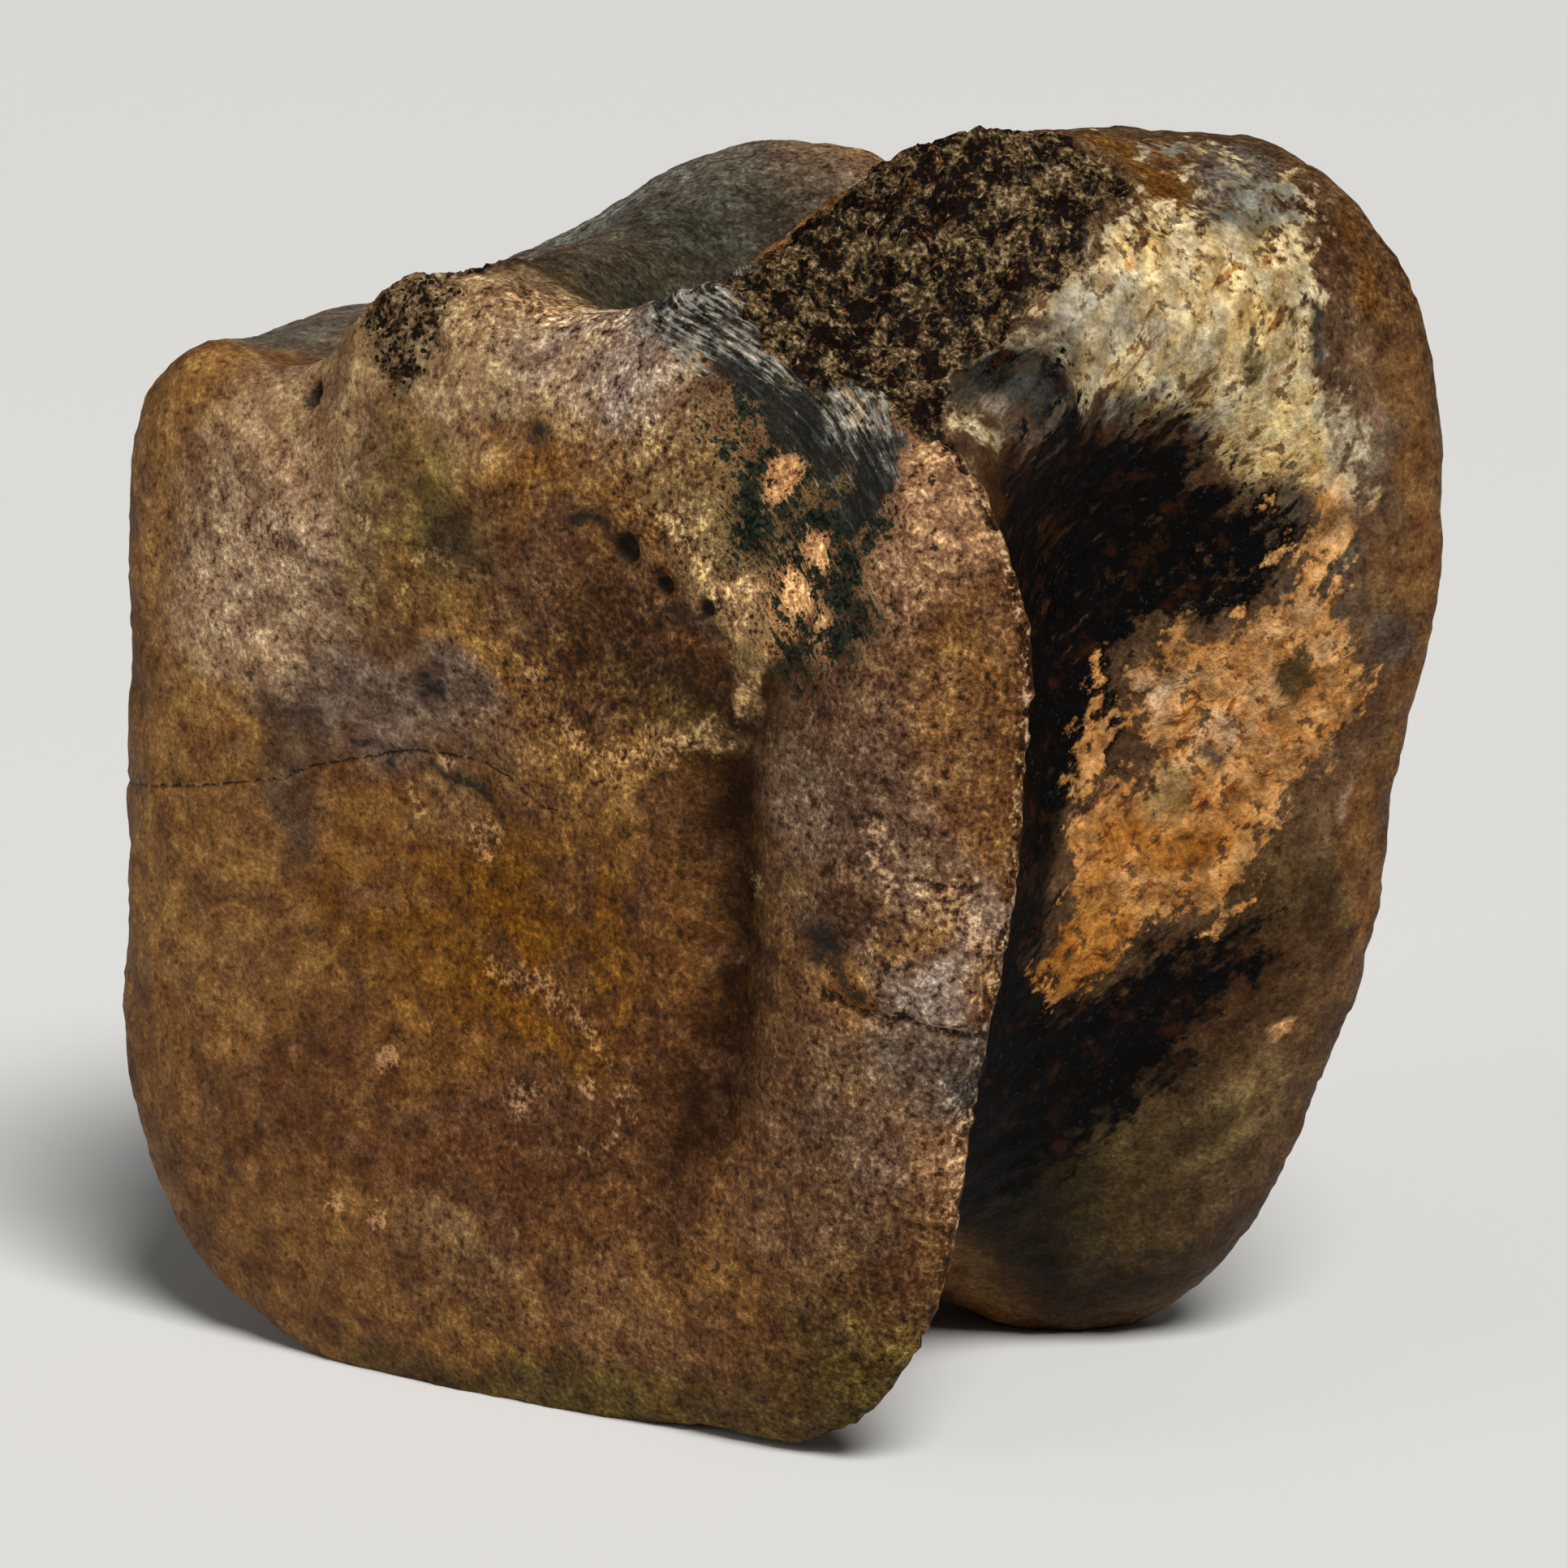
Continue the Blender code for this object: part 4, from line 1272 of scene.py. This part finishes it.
def ground(tree, blots, crumbs, grains):
    """The painted tint, mottled by the three shared noises, with pale dust and dark dots."""
    colour = kept(tree, "tint", "Color")
    grit = kept(tree, "grit")
    soft = [(blots, (0.38, 0.62), (0.82, 0.76, 0.75), (1.15, 1.18, 1.19))]
    dust = joined(tree, grains, crumbs, 0.4)
    gritty = [
        (crumbs, (0.38, 0.62), (0.64, 0.56, 0.55), (1.28, 1.34, 1.36)),
        (grains, (0.36, 0.64), (0.48, 0.41, 0.42), (1.46, 1.52, 1.56)),
        (dust, (0.58, 0.76), PLAIN, (1.75, 1.8, 1.8)),
    ]
    colour = layered(tree, layered(tree, colour, soft), gritty, grit)
    dots = between(tree, joined(tree, crumbs, grains, 0.6), 0.39, 0.31)
    return mix(tree, calc(tree, "MULTIPLY", dots, grit), colour, PORE_DOT)


# %% [markdown]
# ## Chips, dirt, cracks and painted shade
# Chips show the pale inside of the bone and catch the light. Dirt and painted shade darken pits and
# cracks. They could be painted as plain colours, but here a chip is the ground made lighter, so
# that its own mottling still shows, and the noises break each mark up until no drawn line can be
# seen.


# %% Marks of wear, dirt and painted shade
CHIP_GAIN, CHIP_TONE = (1.95, 1.88, 1.75), (0.43, 0.30, 0.16)
# Dirt, and painted shade in pits, cracks, pores and hollows
DIRT_AND_SHADE = (0.008, 0.008, 0.006)
DEEP_DIRT_AND_SHADE = (0.006, 0.004, 0.002)


def marked(tree, colour, crumbs, grains):
    """Pale chips, and dirt and painted shade in marks and cracks, broken up by the same noises."""
    uneven = joined(tree, crumbs, grains, 0.5)
    pale = frayed(tree, "pale", uneven, 2.6, 0.32)
    chipped = between(tree, joined(tree, grains, crumbs, 0.5), 0.34, 0.58)
    chip = mix(tree, 0.3, mix(tree, 1.0, colour, CHIP_GAIN, "MULTIPLY"), CHIP_TONE)
    colour = mix(tree, calc(tree, "MULTIPLY", pale, chipped), colour, chip)
    dark = frayed(tree, "dark", uneven, 2.4, 0.30)
    colour = mix(tree, calc(tree, "MULTIPLY", dark, 0.9), colour, DIRT_AND_SHADE)
    above = joined(tree, kept(tree, "above"), crumbs, 1.6)
    crack = between(tree, calc(tree, "ABSOLUTE", above), 0.24, 0.07)
    crack = calc(tree, "MULTIPLY", crack, kept(tree, "cracked"))
    crack = calc(tree, "MULTIPLY", crack, between(tree, crumbs, 0.62, 0.44))
    return mix(tree, calc(tree, "MULTIPLY", crack, 0.9), colour, DEEP_DIRT_AND_SHADE)


# %% [markdown]
# ## The black stain, with painted shade
# Minerals from the ground have stained the hollow of the flank black, in streaks that follow the
# grain of the bone, and that near-black also paints the hollow's shade. A plain black would look
# like a hole, so the bone shines through it in brown blots, and a few pale flecks lie on it.


# %% Black stain and painted shade of the right flank
# The stain's near-black also paints the shade of the flank's hollow
STAIN_AND_SHADE_BLACK, SOOT_BROWN = (0.0008, 0.0006, 0.0004), (0.028, 0.008, 0.001)
SOOT_FLECK, FLECK_SHARE = (0.11, 0.090, 0.065), 0.14


def black_stain_and_shade(tree, blots, grains, streaks):
    """Stain black that also paints shade, brown blots where the bone shows, and a few pale flecks.
    """
    stain_and_shade = mix(tree, between(tree, blots, 0.52, 0.74), STAIN_AND_SHADE_BLACK, SOOT_BROWN)
    flecks = between(tree, joined(tree, grains, streaks, 0.6), 0.66, 0.76)
    return mix(tree, calc(tree, "MULTIPLY", flecks, FLECK_SHARE), stain_and_shade, SOOT_FLECK)


# %% [markdown]
# ## Chalk and orange crust
# The cream patch is a thin chalky skin, and the orange one below it is a rough, rusty crust. Each
# could have its own material, but they share their mottling, so one recipe serves both, and only
# the painted colour differs. Dark holes and brown veins keep them from looking like paint.
# Streaked noise frays their edges along the grain.


# %% Chalk and orange crust of the right flank
MINERAL_HOLE = (0.028, 0.022, 0.012)


def pale_minerals(tree, blots, crumbs, grains, streaks, tall):
    """The painted minerals, mottled at every size, with brown veins and dark holes."""
    layers = [
        (tall, (0.36, 0.64), (1.10, 1.08, 1.04), (0.66, 0.70, 0.76)),
        (blots, (0.34, 0.64), (0.74, 0.64, 0.48), (1.14, 1.17, 1.22)),
        (crumbs, (0.36, 0.64), (0.76, 0.72, 0.68), (1.16, 1.20, 1.22)),
        (grains, (0.36, 0.64), (0.80, 0.77, 0.75), (1.15, 1.18, 1.20)),
        (streaks, (0.44, 0.36), PLAIN, (0.50, 0.32, 0.16)),
    ]
    pale = layered(tree, kept(tree, "mineral", "Color"), layers)
    holes = between(tree, joined(tree, crumbs, tall, 0.8), 0.42, 0.33)
    return mix(tree, calc(tree, "MULTIPLY", holes, 0.75), pale, MINERAL_HOLE)


def flank_minerals(tree, at, colour, blots, crumbs, grains):
    """Cream minerals, the black stain and painted shade over them, and the rough orange crust over
    both.
    """
    streaks = noise(tree, drawn_out(tree, at, GRAIN_ON_FLANK, 4.0), 1.5, 4.0, 0.66)
    tall = noise(tree, drawn_out(tree, at, (0.0, 0.2, 1.0), 1.6), 2.0, 4.0, 0.62)
    stain_and_shade = black_stain_and_shade(tree, blots, grains, streaks)
    pale = pale_minerals(tree, blots, crumbs, grains, streaks, tall)
    edges = joined(tree, joined(tree, streaks, crumbs, 0.5), blots, 0.5)
    cream = frayed(tree, "cream", edges, 2.2, 0.2)
    cream = calc(tree, "MAXIMUM", cream, frayed(tree, "lobe", blots, 2.0, 0.2))
    colour = mix(tree, cream, colour, pale)
    colour = mix(tree, frayed(tree, "stain", edges, 2.6, 0.25), colour, stain_and_shade)
    colour = mix(tree, frayed(tree, "low_stain", edges, 2.4, 0.30), colour, stain_and_shade)
    rough = frayed(tree, "rough", edges, 2.2, 0.16)
    return mix(tree, rough, colour, pale), rough


# %% [markdown]
# ## Fibres, crust and beads of the near rim
# Where the upper rim has weathered, the bone's fibres lie bare like combed hair. Below them a
# green-black crust clings in clots, and along the keen edge the bone is worn into pale beads and
# dark pits. The fibres are a noise on coordinates that run round the face's middle, so that its
# blots are drawn out into threads that curve with the rim.


# %% Minerals of the near rim
SCAB_DARK, SCAB_GREEN = (0.002, 0.004, 0.002), (0.020, 0.022, 0.012)
THREAD_DARK, THREAD_GRAY = (0.006, 0.008, 0.007), (0.190, 0.184, 0.160)
THREAD_CREAM = (0.50, 0.42, 0.29)
RIM_PIT, RIM_BEAD = (0.009, 0.004, 0.002), (0.42, 0.30, 0.165)


def combed_fibres(tree, threads, blots):
    """Gray threads between dark ones, a few of them cream, darker in blots."""
    thread = mix(tree, between(tree, threads, 0.42, 0.60), THREAD_DARK, THREAD_GRAY)
    thread = mix(tree, between(tree, threads, 0.60, 0.72), thread, THREAD_CREAM)
    shade = between(tree, joined(tree, blots, threads, 0.6), 0.42, 0.56)
    return mottle(tree, thread, shade, (0.30, 0.34, 0.35), (1.1, 1.06, 1.0))


def rim_minerals(tree, colour, blots, crumbs, grains):
    """The green-black crust, the combed fibres and the beaded keen edge."""
    threads = noise(tree, kept(tree, "arcs", "Vector"), 0.34, 3.0, 0.7)
    clots = joined(tree, joined(tree, joined(tree, crumbs, blots, 0.6), grains, 0.7), threads, 0.5)
    scab = mix(tree, between(tree, grains, 0.44, 0.60), SCAB_DARK, SCAB_GREEN)
    colour = mix(tree, frayed(tree, "crust", clots, 2.7, 0.22), colour, scab)

    threads = joined(tree, threads, crumbs, 0.45)
    fibres = frayed(tree, "fibres", threads, 2.2, 0.25)
    thread = combed_fibres(tree, threads, blots)
    colour = mix(tree, calc(tree, "MULTIPLY", fibres, 0.92), colour, thread)

    rim = kept(tree, "rim")
    pits = between(tree, joined(tree, crumbs, blots, 0.4), 0.49, 0.42)
    colour = mix(tree, calc(tree, "MULTIPLY", pits, rim), colour, RIM_PIT)
    beads = between(tree, joined(tree, crumbs, grains, 0.8), 0.57, 0.66)
    return mix(tree, calc(tree, "MULTIPLY", beads, rim), colour, RIM_BEAD)


# %% [markdown]
# ## The broken stumps
# Inside, bone is a sponge of struts with dark marrow spaces. The shape already has the larger
# crumbs. The finish adds what is too small for the mesh: dark clumps, brown struts and a few pale
# glints on the right stump, and close round pores on the left one, from a cell pattern.


# %% Broken, spongy bone
MARROW_DARK, MARROW_BROWN = (0.003, 0.0015, 0.0007), (0.110, 0.064, 0.027)
GLINT = (0.27, 0.20, 0.12)
CELLS_PER_MM = 1.7


def spongy(tree, blots, crumbs, grains):
    """Dark clumps and brown struts, mottled by blots and grains, with pale glints."""
    struts = joined(tree, joined(tree, crumbs, blots, 1.5), grains, 0.5)
    marrow = mix(tree, between(tree, struts, 0.38, 0.80), MARROW_DARK, MARROW_BROWN)
    layers = [
        (blots, (0.50, 0.38), (0.95, 1.02, 1.0), (1.35, 0.72, 0.42)),
        (grains, (0.40, 0.62), (0.45, 0.42, 0.40), (1.75, 1.78, 1.8)),
    ]
    glints = between(tree, joined(tree, grains, struts, 0.5), 0.68, 0.80)
    return mix(tree, glints, layered(tree, marrow, layers), GLINT)


def broken_bone(tree, at, colour, blots, crumbs, grains):
    """Spongy bone on the right stump, and darkened bone with close pores on the left one."""
    sponge = frayed(tree, "sponge", crumbs, 1.6, 0.15)
    colour = mix(tree, sponge, colour, spongy(tree, blots, crumbs, grains))

    cells = {"Vector": at, "Scale": CELLS_PER_MM}
    cells = add(tree, "ShaderNodeTexVoronoi", cells).outputs["Distance"]
    cells = between(tree, joined(tree, cells, crumbs, 1.6), 0.54, 0.36)
    layers = [(crumbs, (0.40, 0.60), (0.26, 0.24, 0.23), (0.62, 0.64, 0.66))]
    # Painted shade and dirt darken the pores
    porous = mix(tree, cells, layered(tree, colour, layers), DEEP_DIRT_AND_SHADE)
    return mix(tree, frayed(tree, "pores", crumbs, 1.8, 0.2), colour, porous), sponge


# %% [markdown]
# ## Putting the finish together
# The layers are laid as they lie on the bone: ground, flank minerals, rim minerals, marks and last
# the breaks. The same noises that mottle the colour also change the gloss and raise a fine bump,
# so that colour and relief agree. The shine is low, because fossil bone is dull between its
# polished spots.


# %% The finished material
GLOSS, GLOSS_SPREAD, BROKEN_DULLER = 0.34, 0.35, 0.2
SHINE = 0.05
CRUMB_BUMP, GRAIN_BUMP = 0.30, 0.13


def fossil_finish():
    """Bone finish: ground and minerals for colour, noise for gloss, crumbs and grains for bump."""
    material = bpy.data.materials.new("fossil_bone_finish")
    material.use_nodes = True
    tree = material.node_tree
    shader = tree.nodes["Principled BSDF"]
    place = add(tree, "ShaderNodeTexCoord", {}).outputs["Object"]
    at = vector(tree, "SCALE", {0: place, "Scale": 1.0 / MM})
    blots = noise(tree, at, BLOT, 5.0, 0.62)
    crumbs = noise(tree, at, CRUMB, 3.0, 0.66)
    grains = noise(tree, at, GRAIN, 2.0, 0.66)
    colour = ground(tree, blots, crumbs, grains)
    colour, rough = flank_minerals(tree, at, colour, blots, crumbs, grains)
    colour = marked(tree, rim_minerals(tree, colour, blots, crumbs, grains), crumbs, grains)
    colour, sponge = broken_bone(tree, at, colour, blots, crumbs, grains)
    tree.links.new(colour, shader.inputs["Base Color"])

    gloss = calc(tree, "MULTIPLY_ADD", crumbs, GLOSS_SPREAD, GLOSS)
    broken = calc(tree, "MAXIMUM", sponge, rough)
    gloss = calc(tree, "MULTIPLY_ADD", broken, BROKEN_DULLER, gloss)
    tree.links.new(gloss, shader.inputs["Roughness"])
    shader.inputs["Specular IOR Level"].default_value = SHINE

    height = calc(tree, "MULTIPLY", crumbs, CRUMB_BUMP)
    height = calc(tree, "MULTIPLY_ADD", grains, GRAIN_BUMP, height)
    bump = add(tree, "ShaderNodeBump", {"Height": height, "Distance": MM, "Strength": 1.0})
    tree.links.new(bump.outputs[0], shader.inputs["Normal"])
    return material


bone.data.materials.append(fossil_finish())
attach(bone, "root")
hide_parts("vertebra")
print("finish has", len(bone.data.materials[0].node_tree.nodes), "nodes")

# %% [markdown]
# ## The floor
# The fossil stands on its worn lower side, on a plain pale floor. A disc is enough for that. It
# is so wide that its edge lies far outside the picture, and it is only part of the stage.

# %% The floor
FLOOR_RADIUS = 4.0
FLOOR_SIDES = 96
FLOOR_COLOUR, FLOOR_ROUGHNESS = (0.62, 0.61, 0.59, 1.0), 0.9


def floor_disc():
    """A disc: points evenly round a circle, as one face."""
    turn = np.linspace(0.0, 2.0 * math.pi, FLOOR_SIDES, endpoint=False)
    rim = np.stack([np.cos(turn), np.sin(turn), np.zeros(FLOOR_SIDES)], axis=1) * FLOOR_RADIUS
    mesh = bpy.data.meshes.new("floor")
    mesh.from_pydata(rim, [], [tuple(range(FLOOR_SIDES))])
    material = bpy.data.materials.new("pale_floor")
    material.use_nodes = True
    shader = material.node_tree.nodes["Principled BSDF"]
    shader.inputs["Base Color"].default_value = FLOOR_COLOUR
    shader.inputs["Roughness"].default_value = FLOOR_ROUGHNESS
    mesh.materials.append(material)
    floor = bpy.data.objects.new("floor", mesh)
    bpy.context.scene.collection.objects.link(floor)
    return floor


floor_disc()
print("floor laid")

# %% [markdown]
# ## The light
# A wide soft key light stands high on the right, so that the near face's relief shows and the
# shadow falls to the left. A sun lamp with a large angle does that with even strength over the
# whole bone. A weak softbox on the left and a pale sky fill the shadows.


# %% Lights and sky
SKY_COLOUR, SKY_STRENGTH = (0.80, 0.80, 0.79, 1.0), 0.14
AIM = Vector((0.0, 0.0, 0.05))


def direction(azimuth, elevation):
    """Unit vector towards a point of the sky: azimuth 0 is in front of the near face."""
    a, e = math.radians(azimuth), math.radians(elevation)
    return Vector((math.sin(a) * math.cos(e), -math.cos(a) * math.cos(e), math.sin(e)))


def sun(name, azimuth, elevation, width, strength):
    """A distant light, as wide in the sky as its angle in degrees, so that its shadows are soft."""
    light = bpy.data.lights.new(name, "SUN")
    light.angle = math.radians(width)
    light.energy = strength
    lamp = bpy.data.objects.new(name, light)
    lamp.rotation_euler = direction(azimuth, elevation).to_track_quat("Z", "Y").to_euler()
    bpy.context.scene.collection.objects.link(lamp)


def softbox(name, azimuth, elevation, distance, size, watts):
    """A square area light that faces the fossil from a direction."""
    light = bpy.data.lights.new(name, "AREA")
    light.size = size
    light.energy = watts
    box = bpy.data.objects.new(name, light)
    towards = direction(azimuth, elevation)
    box.location = AIM + distance * towards
    box.rotation_euler = towards.to_track_quat("Z", "Y").to_euler()
    bpy.context.scene.collection.objects.link(box)


sun("key", azimuth=56, elevation=50, width=25.0, strength=4.3)
softbox("fill", azimuth=-20, elevation=20, distance=1.3, size=0.6, watts=2.4)

world = bpy.data.worlds.new("pale_sky")
world.use_nodes = True
sky = world.node_tree.nodes["Background"]
sky.inputs["Color"].default_value = SKY_COLOUR
sky.inputs["Strength"].default_value = SKY_STRENGTH
bpy.context.scene.world = world
bpy.context.scene.view_settings.view_transform = "Standard"
print("lights set")

# %% [markdown]
# ## The camera
# The camera looks from the right of the near face, a little from above. It stands close enough for
# the far face to look smaller than it is. The lens follows from the distance and from half the
# width that the picture shows there.

# %% The camera
CAMERA_AZIMUTH, CAMERA_ELEVATION = 37.0, 9.8
CAMERA_DISTANCE = 0.540
CAMERA_TARGET = Vector((0.00704, -0.00228, 0.0484))
HALF_VIEW = 0.0644
SENSOR = 36.0

lens = bpy.data.cameras.new("camera")
lens.sensor_width = SENSOR
lens.lens = SENSOR / 2.0 * CAMERA_DISTANCE / HALF_VIEW
camera = bpy.data.objects.new("camera", lens)
backwards = direction(CAMERA_AZIMUTH, CAMERA_ELEVATION)
camera.location = CAMERA_TARGET + CAMERA_DISTANCE * backwards
camera.rotation_euler = (-backwards).to_track_quat("-Z", "Y").to_euler()
bpy.context.scene.collection.objects.link(camera)
bpy.context.scene.camera = camera
print("camera at", [round(c, 3) for c in camera.location])
